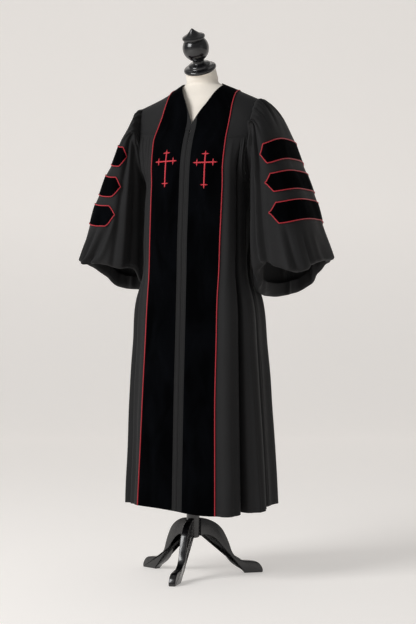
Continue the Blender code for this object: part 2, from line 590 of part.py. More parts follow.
def add_sleeves(cloth, velvet, red):
    """The sleeves with their bars, each bar edged with piping."""
    for word, side in (("left", 1), ("right", -1)):
        surface = sleeve_surface(side)
        turns = [2 * math.pi * i / SLEEVE_STEPS for i in range(SLEEVE_STEPS)]
        grid = grid_of(surface, turns, range(len(SLEEVE)))
        across = np.roll(grid, -1, 1) - np.roll(grid, 1, 1)
        down = np.gradient(grid, axis=0)
        normals = np.cross(across, down) * side
        normals /= np.linalg.norm(normals, axis=2, keepdims=True)
        wall(f"sleeve_{word}", grid, normals, CLOTH, cloth, closed=True)
        for number, (top, bottom) in enumerate(BAR_RINGS, 1):
            steps = [i % SLEEVE_STEPS for i in range(-BAR_BACK, BAR_FRONT[word] + 1)]
            tall = np.ones(len(steps))
            tall[[0, -1]] = BAR_TIP
            middle = (grid[top, steps] + grid[bottom, steps]) / 2
            outs = (normals[top, steps] + normals[bottom, steps]) / 2
            outs /= np.linalg.norm(outs, axis=1, keepdims=True)
            upper = middle + (grid[top, steps] - middle) * tall[:, None]
            lower = middle + (grid[bottom, steps] - middle) * tall[:, None]
            bar = np.array([upper, middle, lower])
            bar_outs = np.array([outs, outs, outs])
            wall(f"bar_{number}_{word}", bar + bar_outs * (BAR_LIFT + VELVET), bar_outs, VELVET, velvet)
            loop = np.concatenate([upper, lower[::-1]])
            loop_outs = np.concatenate([outs, outs[::-1]])
            heart = np.concatenate([middle, middle[::-1]])
            into = heart - loop
            length = np.linalg.norm(into, axis=1, keepdims=True)
            path = loop + into / length * np.minimum(CORD_RADIUS, length * 0.5)
            path = path + loop_outs * (BAR_LIFT + VELVET + LIFT + CORD_RADIUS)
            cord(f"bar_piping_{number}_{word}", path, loop_outs, CORD_RADIUS, red, closed=True, sides=4)


def turned(name, profile, material, steps=24, place=Matrix.Identity(4)):
    """A solid turned about an axis from radius and height pairs, closed at both ends."""
    points, faces = [], []
    for radius, height in profile:
        for i in range(steps):
            angle = 2 * math.pi * i / steps
            points.append(place @ Vector((radius * math.cos(angle), radius * math.sin(angle), height)))
    for r in range(len(profile) - 1):
        for i in range(steps):
            a, b = r * steps + i, r * steps + (i + 1) % steps
            faces.append((a, b, b + steps, a + steps))
    faces.append(tuple(range(steps)))
    faces.append(tuple((len(profile) - 1) * steps + i for i in range(steps)))
    return add_mesh(name, points, faces, material)


def add_form(linen):
    """The smooth dress form, from its flat underside to its tilted neck top."""
    sections = list(FORM)
    for x, front, back in FORM_SHOULDER:
        sections.append((ridge_z(x) - FORM_RIDGE_DROP, x, ridge_y(x), front, back))
    sections += list(NECK)
    rings = []
    turns = [2 * math.pi * i / FORM_STEPS for i in range(FORM_STEPS)]
    for z, half_width, centre_y, front, back in sections:
        rings.append(
            [(half_width * math.cos(t), centre_y + (back if t < math.pi else front) * math.sin(t), z) for t in turns]
        )
    tilt = Matrix.Translation((0, NECK_TOP_Y, NECK_TOP_Z)) @ Matrix.Rotation(NECK_TILT, 4, "X")
    rings.append([tuple(tilt @ Vector((NECK_TOP_RADIUS * math.cos(t), NECK_TOP_RADIUS * math.sin(t), 0))) for t in turns])
    points = [point for ring in rings for point in ring]
    faces = []
    for r in range(len(rings) - 1):
        for i in range(FORM_STEPS):
            a, b = r * FORM_STEPS + i, r * FORM_STEPS + (i + 1) % FORM_STEPS
            faces.append((a, b, b + FORM_STEPS, a + FORM_STEPS))
    faces.append(tuple(range(FORM_STEPS)))
    faces.append(tuple((len(rings) - 1) * FORM_STEPS + i for i in range(FORM_STEPS)))
    add_mesh("form_torso", points, faces, linen)


def add_stand(black, steel):
    """The neck cap and finial, the pole, the hub and three legs."""
    up = Matrix.Translation((0, NECK_TOP_Y, NECK_TOP_Z)) @ Matrix.Rotation(NECK_TILT, 4, "X")
    turned("neck_cap", CAP_PROFILE, black, place=up @ Matrix.Translation((0, 0, SEAM)))
    ball = [
        (BALL_RADIUS * math.sin(math.radians(t)), BALL_HEIGHT - BALL_RADIUS * math.cos(math.radians(t)))
        for t in BALL_TURNS
    ]
    neck = CAP_PROFILE[-1]
    profile = [(neck[0], neck[1] + SEAM), (neck[0], ball[0][1] - 0.003)] + ball + list(TIP_PROFILE)
    turned("finial", profile, black, place=up @ Matrix.Translation((0, 0, SEAM)))
    foot = Matrix.Translation((STAND_X, STAND_Y, 0))
    turned("hub", HUB_PROFILE, black, steps=20, place=foot)
    top = FORM[0][0] - SEAM
    turned("pole", ((POLE_RADIUS, HUB_PROFILE[-1][1] + SEAM), (POLE_RADIUS, top)), steel, steps=16, place=foot)
    for number, word in enumerate(("front", "left", "right")):
        turn = foot @ Matrix.Rotation(LEG_TURN + number * 2 * math.pi / 3, 4, "Z")
        points = []
        for half in (-LEG_THICK / 2, LEG_THICK / 2):
            points += [turn @ Vector((half, -reach, height)) for reach, height in LEG_OUTLINE]
        count = len(LEG_OUTLINE)
        faces = [tuple(range(count)), tuple(range(count, 2 * count))]
        faces += [(i, (i + 1) % count, count + (i + 1) % count, count + i) for i in range(count)]
        add_mesh(f"leg_{word}", points, faces, black)


def paint(name, colour, roughness, metallic=0.0):
    """A plain Principled material."""
    made = bpy.data.materials.new(name)
    made.use_nodes = True
    shader = made.node_tree.nodes["Principled BSDF"]
    shader.inputs["Base Color"].default_value = (*colour, 1)
    shader.inputs["Roughness"].default_value = roughness
    shader.inputs["Metallic"].default_value = metallic
    return made


def stand_on_origin():
    """Moves the whole part so that its box is centred over the origin."""
    bpy.context.view_layer.update()
    corners = []
    for piece in bpy.data.objects:
        if piece.type == "MESH":
            corners += [vertex.co.copy() for vertex in piece.data.vertices]
    low = [min(c[i] for c in corners) for i in range(3)]
    high = [max(c[i] for c in corners) for i in range(3)]
    shift = Vector((-(low[0] + high[0]) / 2, -(low[1] + high[1]) / 2, -low[2]))
    for piece in bpy.data.objects:
        if piece.type == "MESH":
            piece.data.transform(Matrix.Translation(shift))


for old in list(bpy.data.objects):
    bpy.data.objects.remove(old)
ORIGIN = bpy.data.objects.new("origin", None)
bpy.context.scene.collection.objects.link(ORIGIN)
gown_cloth = paint("gown_cloth", (0.028, 0.028, 0.030), 0.75)
black_velvet = paint("black_velvet", (0.004, 0.004, 0.006), 0.9)
red_cord = paint("red_cord", (0.45, 0.015, 0.03), 0.6)
add_body(gown_cloth)
add_facings(black_velvet, red_cord)
add_sleeves(gown_cloth, black_velvet, red_cord)
add_form(paint("form_linen", (0.86, 0.76, 0.63), 0.8))
add_stand(paint("black_lacquer", (0.010, 0.010, 0.011), 0.25), paint("pole_steel", (0.5, 0.5, 0.5), 0.3, 1.0))
stand_on_origin()
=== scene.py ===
"""Looks for a doctoral graduation gown on its dress form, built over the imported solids.

Metres, +Z up. The gown's front faces -Y and the wearer's left is +X, so "left" below is +X.
"""

import math

import bmesh
import bpy
import numpy as np
from mathutils import Matrix, Vector, noise


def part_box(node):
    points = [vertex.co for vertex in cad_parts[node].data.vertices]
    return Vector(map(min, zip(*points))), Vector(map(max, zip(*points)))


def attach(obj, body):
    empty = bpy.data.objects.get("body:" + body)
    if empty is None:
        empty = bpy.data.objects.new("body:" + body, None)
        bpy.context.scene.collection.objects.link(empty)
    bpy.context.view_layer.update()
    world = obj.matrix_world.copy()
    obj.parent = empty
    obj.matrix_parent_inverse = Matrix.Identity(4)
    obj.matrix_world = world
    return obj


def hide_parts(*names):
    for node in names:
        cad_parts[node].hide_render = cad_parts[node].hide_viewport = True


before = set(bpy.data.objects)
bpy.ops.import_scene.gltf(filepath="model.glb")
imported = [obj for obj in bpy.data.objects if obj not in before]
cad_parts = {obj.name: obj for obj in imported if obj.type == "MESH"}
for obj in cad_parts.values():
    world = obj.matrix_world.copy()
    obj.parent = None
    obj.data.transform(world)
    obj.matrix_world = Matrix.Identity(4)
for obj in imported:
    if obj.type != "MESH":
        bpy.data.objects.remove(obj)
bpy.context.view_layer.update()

bl_info = {
    "name": "Doctoral Gown",
    "version": (1, 0, 0),
    "blender": (4, 5, 0),
    "location": "View3D > Sidebar > Gown",
    "description": "Builds a doctoral graduation gown on a dress form with a tripod stand",
    "category": "Add Mesh",
}

# ---- sizes of the form and of the gown's cut

STAND_X, STAND_Y = -0.012, -0.02  # the stand's axis, seen from the gown's own
POLE_LOW, POLE_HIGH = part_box("pole")
ORIGIN = np.array(((POLE_LOW.x + POLE_HIGH.x) / 2 - STAND_X, (POLE_LOW.y + POLE_HIGH.y) / 2 - STAND_Y, 0))

SEAM = 0.0004  # space left between two pieces at a seam
LIFT = 0.0003  # space under a piece that lies on another
BAR_LIFT = 0.0006  # space under a sleeve bar
HEM_Z = 0.23
NECK_SIDE_X, NECK_SIDE_Z = 0.0635, 1.562  # where the shoulder seam meets the neckline
SHOULDER_X, SHOULDER_Z = 0.196, 1.494  # where the shoulder seam meets the sleeve
RIDGE_NECK_Y, RIDGE_SHOULDER_Y = 0.038, 0.018
ARMPIT_X, ARMPIT_Z = 0.172, 1.25
V_BOTTOM_Z = 1.428
YOKE_Z, BACK_YOKE_Z, BACK_NECK_Z = 1.387, 1.405, 1.552
FRONT_YOKE_Z = (1.3725, 1.405)  # the front yokes' seams, left and right
SHOULDER_ROUND = 0.075  # how far down the shoulders are rounded
PLACKET, PLACKET_CORNER = 0.0165, 0.003  # gown cloth that shows each side of the closed front
CROSS_STEP = 0.004  # the left cross lies this far under the crosses' middle height
CROSS_TAPER = 0.006  # length of a stroke's narrow end
FACING_SET_BACK = 0.0015
SHOULDER_FACING_X = (0.1275, 0.088)  # left and right
BACK_FACING_DROP = 0.42
FACING, EDGE = 0.1, 0.5  # columns of a front where the velvet begins and ends
HEM_DROP, HEM_TALL = 0.022, 0.045  # how far the hem drops, and its turned part
FLY_GAP_Z, FLY_GAP_TALL = 1.398, 0.02  # where the closed front opens a little
YOKE_RISE = 0.0007  # how far a yoke's turned edge stands out
VELVET_ROUND = 0.0012  # radius of the facings' turned edges
STITCH_LONG, STITCH_THICK, SEAM_STITCH_LIFT = 0.0024, 0.00035, 0.0009


def in_metres(columns, rows):
    """A table whose given columns are written in millimetres."""
    return [tuple(value / 1000 if i in columns else value for i, value in enumerate(row)) for row in rows]


# Levels of the body: height, half width, centre, reach to the front and back, squareness
BODY = in_metres((1, 2, 3, 4), (
    (1.6, 282, 30, 80, 62, 2.2), (1.5, 260, 30, 86, 78, 2.2), (1.43, 240, 26, 87, 92, 2.3),
    (1.37, 222, 20, 112, 100, 2.4), (1.33, 210, 16, 124, 104, 2.4), (1.29, 193, 12, 129, 109, 2.5),
    (ARMPIT_Z, ARMPIT_X * 1000, 10, 132, 113, 2.6), (1.18, 170, 10, 138, 120, 2.8), (1.055, 170, 10, 149, 132, 3),
    (0.94, 174, 6, 150, 146, 3), (0.87, 194, 0, 148, 150, 3), (0.72, 208, 0, 157, 156, 2.8),
    (0.56, 219, 0, 167, 164, 2.6), (0.41, 228, 0, 174, 174, 2.4), (HEM_Z, 238, 0, 182, 184, 2.3),
))

# The velvet's outer edge from the centre of the front: height, left, right
FACING_EDGE = in_metres((1, 2), (
    (1.545, 126, 88), (1.5, 130, 90), (1.466, 128, 100.5), (1.43, 123.5, 113.5), (1.392, 122, 121),
    (1.336, 121, 119.5), (1.28, 118.5, 118.5), (1.18, 118.5, 116.5), (1.05, 117.5, 114.5), (0.9, 115.7, 116),
    (0.75, 115.7, 120.5), (0.6, 115, 126), (HEM_Z, 119, 142),
))

# The neckline's distance from the centre of the front: height, left, right
NECKLINE = in_metres((1, 2), (
    (V_BOTTOM_Z, 0, 0), (1.452, 14.3, 9.5), (1.473, 30, 16), (1.494, 49.8, 22), (1.525, 68, 34), (1.548, 76.5, 46),
    (1.556, 76.5, 51.5), (1.565, 76.5, 57.5),
))

# Folds, ridges and creases of a quarter of the body. Each runs from a place on its top level to one on its
# end level, both from the velvet's edge (0) to the side seam (1), or on the back from the centre to the side:
# top place, end place, top height, end height, half width at the top and end, depth at the top and end.
LEFT_FOLDS = in_metres((6, 7), (
    (0.2, 0.2, 1.36, HEM_Z, 0.17, 0.17, 4, 32), (0.42, 0.42, 1.35, HEM_Z, 0.05, 0.05, -7, -22),
    (0.66, 0.66, 1.2, HEM_Z, 0.16, 0.16, 2, 30), (0.9, 0.9, 1.05, HEM_Z, 0.05, 0.05, -3, -16),
    (0.18, 0.14, 1.372, 0.9, 0.05, 0.05, 2, 1), (0.44, 0.42, 1.372, HEM_Z, 0.022, 0.026, -10, -20),
    (0.6, 0.56, 1.372, 1.1, 0.035, 0.03, 3, 1), (0.74, 0.66, 1.372, 1.02, 0.028, 0.024, -4, -2),
    (0.3, 0.26, 1, HEM_Z, 0.035, 0.03, -0.4, -4.5), (0.55, 0.6, 0.98, HEM_Z, 0.03, 0.025, 1, 5),
    (0.8, 0.76, 0.9, HEM_Z, 0.035, 0.03, -1, -6),
))
RIGHT_FOLDS = in_metres((6, 7), (
    (0.18, 0.18, 1.36, HEM_Z, 0.1, 0.1, 3, -10), (0.36, 0.36, 1.35, HEM_Z, 0.055, 0.055, -6, -15),
    (0.62, 0.62, 1.2, HEM_Z, 0.13, 0.13, 2, -10), (0.86, 0.86, 1.05, HEM_Z, 0.06, 0.06, -3, -14),
    (0.14, 0.2, 1.404, 1.05, 0.024, 0.035, -3.2, -0.8), (0.27, 0.26, 1.404, 0.8, 0.03, 0.04, 3.4, 2),
    (0.45, 0.42, 1.404, 1.12, 0.022, 0.03, -4, -1.4), (0.6, 0.58, 1.404, 1.2, 0.026, 0.03, 3, 0.6),
    (0.5, 0.46, 0.98, HEM_Z, 0.04, 0.035, 0.8, 6), (0.1, 0.12, 0.72, HEM_Z, 0.04, 0.04, 0.4, 4),
))
BACK_FOLDS = in_metres((6, 7), (
    (0.12, 0.12, 1.38, HEM_Z, 0.055, 0.055, -6, -26), (0.25, 0.25, 1.38, HEM_Z, 0.07, 0.07, 6, 16),
    (0.38, 0.38, 1.38, HEM_Z, 0.055, 0.055, -6, -26), (0.52, 0.52, 1.38, HEM_Z, 0.07, 0.07, 6, 18),
    (0.66, 0.66, 1.36, HEM_Z, 0.055, 0.055, -5, -24), (0.82, 0.82, 1.2, HEM_Z, 0.07, 0.07, 2, 16),
))
BACK_FLUTES, BACK_FLUTE_DEPTH, BACK_FLUTE_LENGTH = 13, 0.0034, 0.16  # small gathers under the back yoke

# Rings of a sleeve from the armhole down: outer x and z, inner x and z, centre y, half depth, drop of its
# front and back, squareness
SLEEVE = in_metres(range(8), (
    (196, 1494, 172, 1250, 18, 70, 90, 90, 2), (213, 1491, 181, 1238, 18, 96, 80, 80, 2.1),
    (231, 1472, 184, 1224, 30, 110, 60, 60, 2.1), (249, 1440, 184, 1208, 44, 122, 38, 38, 2.2),
    (267, 1404, 184, 1192, 52, 134, 23, 23, 2.3), (284, 1366, 184, 1176, 57, 142, 14, 14, 2.4),
    (307, 1309, 184, 1150, 59, 148, 15, 15, 2.5), (322, 1271, 184, 1132, 58, 150, 16, 16, 2.6),
    (344, 1213, 184, 1104, 55, 153, 17, 17, 2.6), (357, 1179, 184, 1086, 53, 156, 19, 19, 2.6),
    (376, 1121, 184, 1046, 50, 160, 19, 22, 2.6), (394, 1060, 187, 986, 48, 164, 18, 36, 2.6),
    (407, 1010, 192, 922, 48, 166, 18, 55, 2.6), (410, 990, 197, 894, 48, 165, 18, 62, 2.6),
    (400, 983, 205, 890, 48, 156, 18, 62, 2.5), (390, 994, 212, 902, 48, 146, 18, 60, 2.4),
    (386, 1026, 214, 934, 48, 146, 18, 60, 2.4),
))
# Height of a sleeve's hem by degrees round it: 0 outside, 90 at the front, 180 beside the body, -90 at the back
SLEEVE_HEM = {
    "left": in_metres((1,), (
        (-180, 892), (-150, 890), (-125, 898), (-105, 908), (-90, 928), (-78, 962), (-66, 988), (-50, 1000),
        (-25, 1004), (0, 1001), (20, 990), (38, 973), (55, 962), (75, 967), (92, 979), (108, 994), (122, 990),
        (134, 962), (150, 918), (165, 898), (180, 892),
    )),
    "right": in_metres((1,), (
        (-180, 918), (-150, 912), (-120, 912), (-90, 917), (-65, 921), (-45, 932), (-25, 956), (-10, 978),
        (5, 996), (20, 1006), (35, 1006), (50, 998), (65, 993), (80, 995), (98, 992), (112, 984), (126, 979),
        (142, 982), (155, 978), (168, 945), (180, 918),
    )),
}
# How a sleeve differs from the rings' table: ring, further out, higher, more drop at its front
SLEEVE_SHIFT = {
    "left": in_metres((1, 2, 3), (
        (0, 0, 0, 0), (4, 0, 0, 2), (5, 0, 0, 9), (6, 0, 0, 5), (7, 0, 2, 0), (9, 0, 4, -3), (10, 0, 2, 0),
        (16, 0, 0, 0),
    )),
    "right": in_metres((1, 2, 3), (
        (0, 0, 0, 0), (1, -4, -7, 0), (2, -10, -8, 0), (3, -13, -4, 0), (4, -14, 2, 0), (5, -14, 6, 0),
        (6, -12, 5, 0), (7, -7, 8, 0), (8, -5, 6, 0), (9, -4, 8, -4), (10, -3, 5, 0), (12, -3, 0, 0),
        (16, -4, 0, 0),
    )),
}
LOWEST_RING, GATHER = 13, 1.6  # the ring at the hem, and the share of the gathers' depth
CAP_PUFF, BAR_PUFF = 0.0038, 0.0006  # how far the sleeve's cap and the bars swell
BAR_RINGS = ((5, 6), (7, 8), (9, 10))
BAR_BACK, BAR_FRONT, BAR_POINT = 90, {"left": 90, "right": 101.25}, 11.25  # degrees round the sleeve
HEM_WAVES, HEM_WAVE_DEPTH = 5, 0.0055
CRUMPLE, CRUMPLE_SIZE, CRUMPLE_TALL = 0.004, 0.085, 0.3  # the cloth's small swells: depth, size, how much longer down
BODY_CRUMPLE = 0.7  # their share on the body
HEM_WAVE_RINGS = (0, 0, 0, 0, 0, 0, 0, 0, 0, 0, 0.1, 0.5, 0.9, 1, 0.9, 0.7, 0.6)

# Gathers of a sleeve's cap: degrees round the sleeve at the seam and at its end, the ring where it ends, half
# width in degrees, depth
CAP_GATHERS = {
    "left": in_metres((4,), (
        (112, 118, 6.5, 6, -6), (96, 99, 9, 5, -7), (80, 76, 5, 4.5, -5.5), (64, 60, 3.4, 4, -6),
        (48, 46, 4.8, 4, -7.5), (33, 32, 3, 3.5, -5.5), (19, 21, 4.6, 4, -8), (4, 6, 3.6, 3.5, -6),
        (-11, -9, 4.4, 4, -7), (-27, -24, 3.2, 4, -5.5), (-42, -40, 4.8, 4.5, -7), (-60, -58, 4, 5, -6),
        (-80, -82, 6, 5.5, -6.5), (-104, -110, 7.5, 6.5, -6),
    )),
    "right": in_metres((4,), (
        (116, 124, 8.5, 6, -6), (99, 104, 10, 5.5, -8.5), (84, 84, 6.6, 4.5, -6), (69, 66, 4.4, 4, -7),
        (54, 50, 5, 4, -6), (40, 38, 3.6, 3.5, -7.5), (25, 25, 4.8, 4, -6), (9, 8, 3.2, 3.5, -6.5),
        (-7, -8, 4.6, 4, -7), (-23, -22, 3.4, 4, -6), (-40, -42, 5, 4.5, -7), (-58, -60, 3.8, 5, -5.5),
        (-79, -80, 6.2, 5.5, -6.5), (-103, -108, 7, 6.5, -6),
    )),
}

# Long folds of a sleeve: degrees at its top and end, ring at its top and end, half width in degrees at each,
# depth at each
SLEEVE_FOLDS = {
    "left": in_metres((6, 7), (
        (104, 112, 2.5, 13.4, 3.5, 4, 7, 11), (97, 103, 4, 13.4, 4, 5, -4, -9),
        (116, 124, 2.5, 13, 4, 4.5, -7, -12), (128, 134, 3, 13.4, 5, 5, 5, 6), (142, 146, 4, 13.4, 5, 5, -6, -8),
        (80, 74, 9.4, 13.6, 5, 6, 1, 10), (70, 58, 9.8, 13.6, 4, 5.5, -3, -12), (54, 43, 10, 13.6, 5, 6, 2, 7),
        (40, 28, 10.2, 13.6, 3.5, 5, -3, -11), (18, 10, 10.4, 13.6, 5, 6, 2, 7),
        (-20, -30, 8, 13.6, 6, 8, -2, -10), (-60, -54, 6, 13.6, 6, 8, 3, 9), (-88, -80, 4, 13.6, 5, 5, -6, -15),
        (-116, -108, 3, 13.6, 6, 7, 4, 8), (-138, -128, 3, 13.6, 5, 5, -6, -14),
        (168, 170, 3, 13.6, 8, 10, -4, -6),
    )),
    "right": in_metres((6, 7), (
        (102, 112, 3, 13.2, 4, 5, -8, -6), (112, 128, 3, 13.2, 5, 6, 7, 6), (128, 146, 4, 13, 6, 7, -7, -10),
        (104, 86, 9.2, 13.2, 3.5, 4.5, 4, 12), (97, 76, 9.4, 13.4, 3.5, 4, -5, -12),
        (90, 66, 9.6, 13.2, 3.5, 4.5, 3, 11), (80, 55, 9.6, 13.4, 3.5, 4, -5, -12), (66, 42, 10, 13.4, 4, 5, 3, 9),
        (40, 22, 10.2, 13.6, 4, 6, -3, -9), (-18, -26, 8, 13.6, 6, 8, -3, -10), (-58, -50, 6, 13.6, 6, 8, 3, 9),
        (-84, -78, 4, 13.6, 5, 6, -6, -14), (-118, -110, 3, 13.6, 6, 7, 4, 8),
        (-142, -134, 3, 13.6, 5, 6, -6, -12), (168, 172, 3, 13.6, 8, 10, -4, -6),
    )),
}

# Dress form: level, half width, centre, reach to the front and back
FORM = in_metres((1, 2, 3, 4), (
    (0.845, 138, 12, 98, 98), (0.857, 150, 12, 108, 108), (0.93, 155, 12, 113, 110), (1.03, 149, 12, 109, 102),
    (1.12, 136, 10, 97, 93), (1.22, 146, 8, 103, 92), (1.3, 156, 10, 106, 88), (1.36, 160, 14, 96, 80),
    (1.41, 163, 21, 82, 66), (1.45, 163, 28, 72, 54), (1.485, 158, 28, 64, 48),
))
FORM_RIDGE_DROP = 0.0027  # how far the form's shoulders lie under the shoulder seams
FORM_SHOULDER = in_metres((0, 1, 2), (
    (57, 50, 24), (105, 56, 30), (145, 60, 38),
))
NECK = in_metres((1, 2, 3, 4), (
    (1.568, 53, 33, 50, 36), (1.584, 51.5, 27, 50, 44),
))
NECK_TOP_Z, NECK_TOP_Y, NECK_TOP_RADIUS, NECK_TILT = 1.606, 0.012, 0.0485, math.radians(31)

# Turned wood, as radius and height pairs
CAP_PROFILE = in_metres((0, 1), (
    (45.5, 0), (50, 0.6), (52.2, 3.2), (52.5, 6.8), (51.2, 9.8), (48.8, 11.5), (40, 12.2), (37.4, 13.2),
    (36.2, 15.2), (36.2, 18.2), (35, 20.6), (32, 22.4), (24, 24.3), (20.6, 25.8), (19.2, 27.6), (19, 29),
))
BALL_RADIUS, BALL_HEIGHT, BALL_TURNS = 0.0424, 0.0744, (29, 135)
TIP_PROFILE = in_metres((0, 1), (
    (30, 105), (33.5, 106.2), (36, 108.2), (37, 110.6), (36.2, 114), (33, 116.2), (28, 118.2), (22.8, 120.6),
    (18, 124.4), (13.8, 128.2), (10, 131.8), (6.8, 135.2), (4, 138.2), (1.6, 140.5), (0.2, 140.8),
))
HUB_PROFILE = in_metres((0, 1), (
    (14, 118), (17.6, 119.2), (19.8, 121.6), (21, 126), (21, 196), (21.2, 197.5), (23.4, 199), (24.4, 202),
    (24.6, 206), (24.2, 209.4), (22.6, 211.8), (19.6, 214), (18, 218), (17.2, 224), (16, 229), (14.5, 232),
))
POLE_RADIUS = 0.0145

# One leg seen from its side: distance from the stand's axis and height, over its top and back under it
LEG_OUTLINE = in_metres((0, 1), (
    (21.4, 181), (46, 176), (73, 163), (93, 144), (106, 121), (116, 98), (126, 70), (139, 53), (159, 42),
    (186, 39), (209, 34), (222, 22), (228, 8), (226, 0), (167, 0), (160, 9), (130, 29), (113, 46), (99, 69),
    (87, 92), (73, 109), (56, 121), (37, 125), (21.4, 124),
))
LEG_CORNERS = (0, 13, 14, 23)  # points of the outline that stay sharp
LEG_TURN, LEG_ROUND = math.radians(6), 0.0028

# Strokes of a cross: start and end from its crossing, share of the line's width, height of the thread
CROSS_STROKES = (
    ((0, 0.038), (0, -0.083), 1, 0.0012),
    ((-0.039, 0), (0.039, 0), 1, 0.0014),
    ((-0.0125, 0.027), (0.0125, 0.027), 0.9, 0.0014),
    ((-0.0125, -0.07), (0.0125, -0.07), 0.9, 0.0014),
    ((-0.0255, 0.0125), (-0.0255, -0.0125), 0.9, 0.0016),
    ((0.0255, 0.0125), (0.0255, -0.0125), 0.9, 0.0016),
)

# How much higher the gown's top lies at a distance from the centre, because one shoulder is raised
LEAN = ((-0.5, 0), (-0.2, 0), (-0.12, -0.006), (-0.05, 0), (0.05, 0), (0.14, 0.007), (0.28, 0.014), (0.5, 0.014))

FLOOR_REACH, WALL_Y, WALL_BEND, WALL_TALL = 16, 5.4, 1.6, 9  # the backdrop's half width, and its wall
LIT_POINT = (0, 0, 0.95)  # where the lights point
SENSOR, PHOTO_TALL, CENTRE_SHIFT = 36, 624, 9  # camera sensor in mm, picture's height and the part's place in pixels


# ---- surfaces


def mix(a, b, f):
    return a + (b - a) * f


def ease(f):
    """A smooth step from 0 to 1."""
    f = np.clip(f, 0, 1)
    return f * f * (3 - 2 * f)


def unit(v):
    return v / np.maximum(np.linalg.norm(v, axis=-1, keepdims=True), 1e-12)


def running(steps):
    """Distance from the start after each step."""
    return np.concatenate([[0], np.cumsum(steps)])


def between(start, stop, count):
    return list(np.linspace(start, stop, count))


def stretches(bends, counts):
    """Values between each bend and the next, so many in each stretch."""
    return np.unique(np.concatenate([np.linspace(*ends, n) for *ends, n in zip(bends, bends[1:], counts)]))


def wrapped(degrees):
    return (degrees + 180) % 360 - 180


def curve(a, b, leave, arrive, f):
    """A smooth curve from a to b with its slopes at both."""
    f2, f3 = f**2, f**3
    return (2 * f3 - 3 * f2 + 1) * a + (f3 - 2 * f2 + f) * leave + (3 * f2 - 2 * f3) * b + (f3 - f2) * arrive


def smooth_rows(rows):
    """A function of a table's first column that gives its others, on smooth curves through its rows."""
    table = np.array(sorted(rows), float)
    key, rest = table[:, 0], table[:, 1:]
    slopes = np.gradient(rest, key, axis=0)

    def at(level):
        level = np.clip(np.asarray(level, float), key[0], key[-1])
        i = np.clip(np.searchsorted(key, level, side="right") - 1, 0, len(key) - 2)
        span = (key[i + 1] - key[i])[..., None]
        f = (level - key[i])[..., None] / span
        return np.moveaxis(curve(rest[i], rest[i + 1], span * slopes[i], span * slopes[i + 1], f), -1, 0)

    return at


shoulder_lean, body_level, facing_level = smooth_rows(LEAN), smooth_rows(BODY), smooth_rows(FACING_EDGE)
neck_level = smooth_rows(NECKLINE)
sleeve_ring = smooth_rows([(i, *row) for i, row in enumerate(SLEEVE)])
sleeve_hem = {word: smooth_rows(rows) for word, rows in SLEEVE_HEM.items()}
sleeve_shift = {word: smooth_rows(rows) for word, rows in SLEEVE_SHIFT.items()}


def along_shoulder(x):
    """Part of the way from the neckline to the sleeve."""
    return (np.abs(x) - NECK_SIDE_X) / (SHOULDER_X - NECK_SIDE_X)


def ridge_z(x):
    """Height of the shoulder seam over a distance from the centre."""
    return mix(NECK_SIDE_Z, SHOULDER_Z, along_shoulder(x))


def ridge_y(x):
    return mix(RIDGE_NECK_Y, RIDGE_SHOULDER_Y, np.maximum(along_shoulder(x), 0))


def armhole_x(z):
    return mix(ARMPIT_X, SHOULDER_X, np.clip((z - ARMPIT_Z) / (SHOULDER_Z - ARMPIT_Z), 0, 1))


def wall_y(x, z, front):
    """Where the front or the back of the gown lies over points of its elevation."""
    half, centre, reach_front, reach_back, square = body_level(z)
    share = np.minimum(np.abs(x) / half, 1)
    flat = centre + np.where(front, -reach_front, reach_back) * (1 - share**square) ** (1 / square)
    fall = np.clip((ridge_z(x) - z) / SHOULDER_ROUND, 0, 1)
    return mix(ridge_y(x), flat, np.sqrt(1 - (1 - fall) ** 2))


def quarter(z, start_x, front, steps=160):
    """Points of one level from start_x round to the side, with each one's part of the way."""
    half, centre, reach_front, reach_back, square = body_level(z)
    turn = np.linspace(math.asin(min(start_x / half, 1) ** (square / 2)), math.pi / 2, steps)
    x = half * np.sin(turn) ** (2 / square)
    y = centre + (-reach_front if front else reach_back) * np.abs(np.cos(turn)) ** (2 / square)
    way = running(np.hypot(np.diff(x), np.diff(y)))
    return x, y, way / way[-1]


def folded(folds, across, level, grows_in, last):
    """How far folds move points of one level out. One that ends before the last level fades away."""
    total = np.zeros(len(across))
    for at_top, at_end, top, end, wide_top, wide_end, deep_top, deep_end in folds:
        grown = (level - top) / (end - top)
        if grown > 0:
            fade = ease(grown / grows_in) * (ease((1.2 - grown) / 0.4) if end > last else 1)
            grown = min(grown, 1)
            off = wrapped(across - mix(at_top, at_end, grown)) / mix(wide_top, wide_end, grown)
            total += mix(deep_top, deep_end, grown) * fade * np.exp(-(off**2))
    return total


def crumple(points, seed):
    """Small uneven swells of hanging cloth, longer down than across."""
    places = points * (np.array((1, 1, CRUMPLE_TALL)) / CRUMPLE_SIZE) + seed
    return CRUMPLE * np.array([noise.noise(Vector(p)) + 0.45 * noise.noise(Vector(p) * 2.3) for p in places])


def hung(x, y, z, depth, side, behind):
    """Points of a level moved out by depth, with the hem's own drop."""
    half, centre, reach_front, reach_back, _ = body_level(z)
    reach = np.where(y < centre, reach_front, reach_back)
    out = unit(np.stack([x / half**2, (y - centre) / reach**2], -1))
    x, y = x + out[..., 0] * depth, y + out[..., 1] * depth
    down = np.maximum((YOKE_Z - z) / (YOKE_Z - HEM_Z), 0) ** 4
    z = z - HEM_DROP * down * np.exp(-(((np.arctan2(side * x, -y) - 0.6) / 0.7) ** 2))
    return np.stack([side * x, y + behind * SEAM / 2, z], -1)


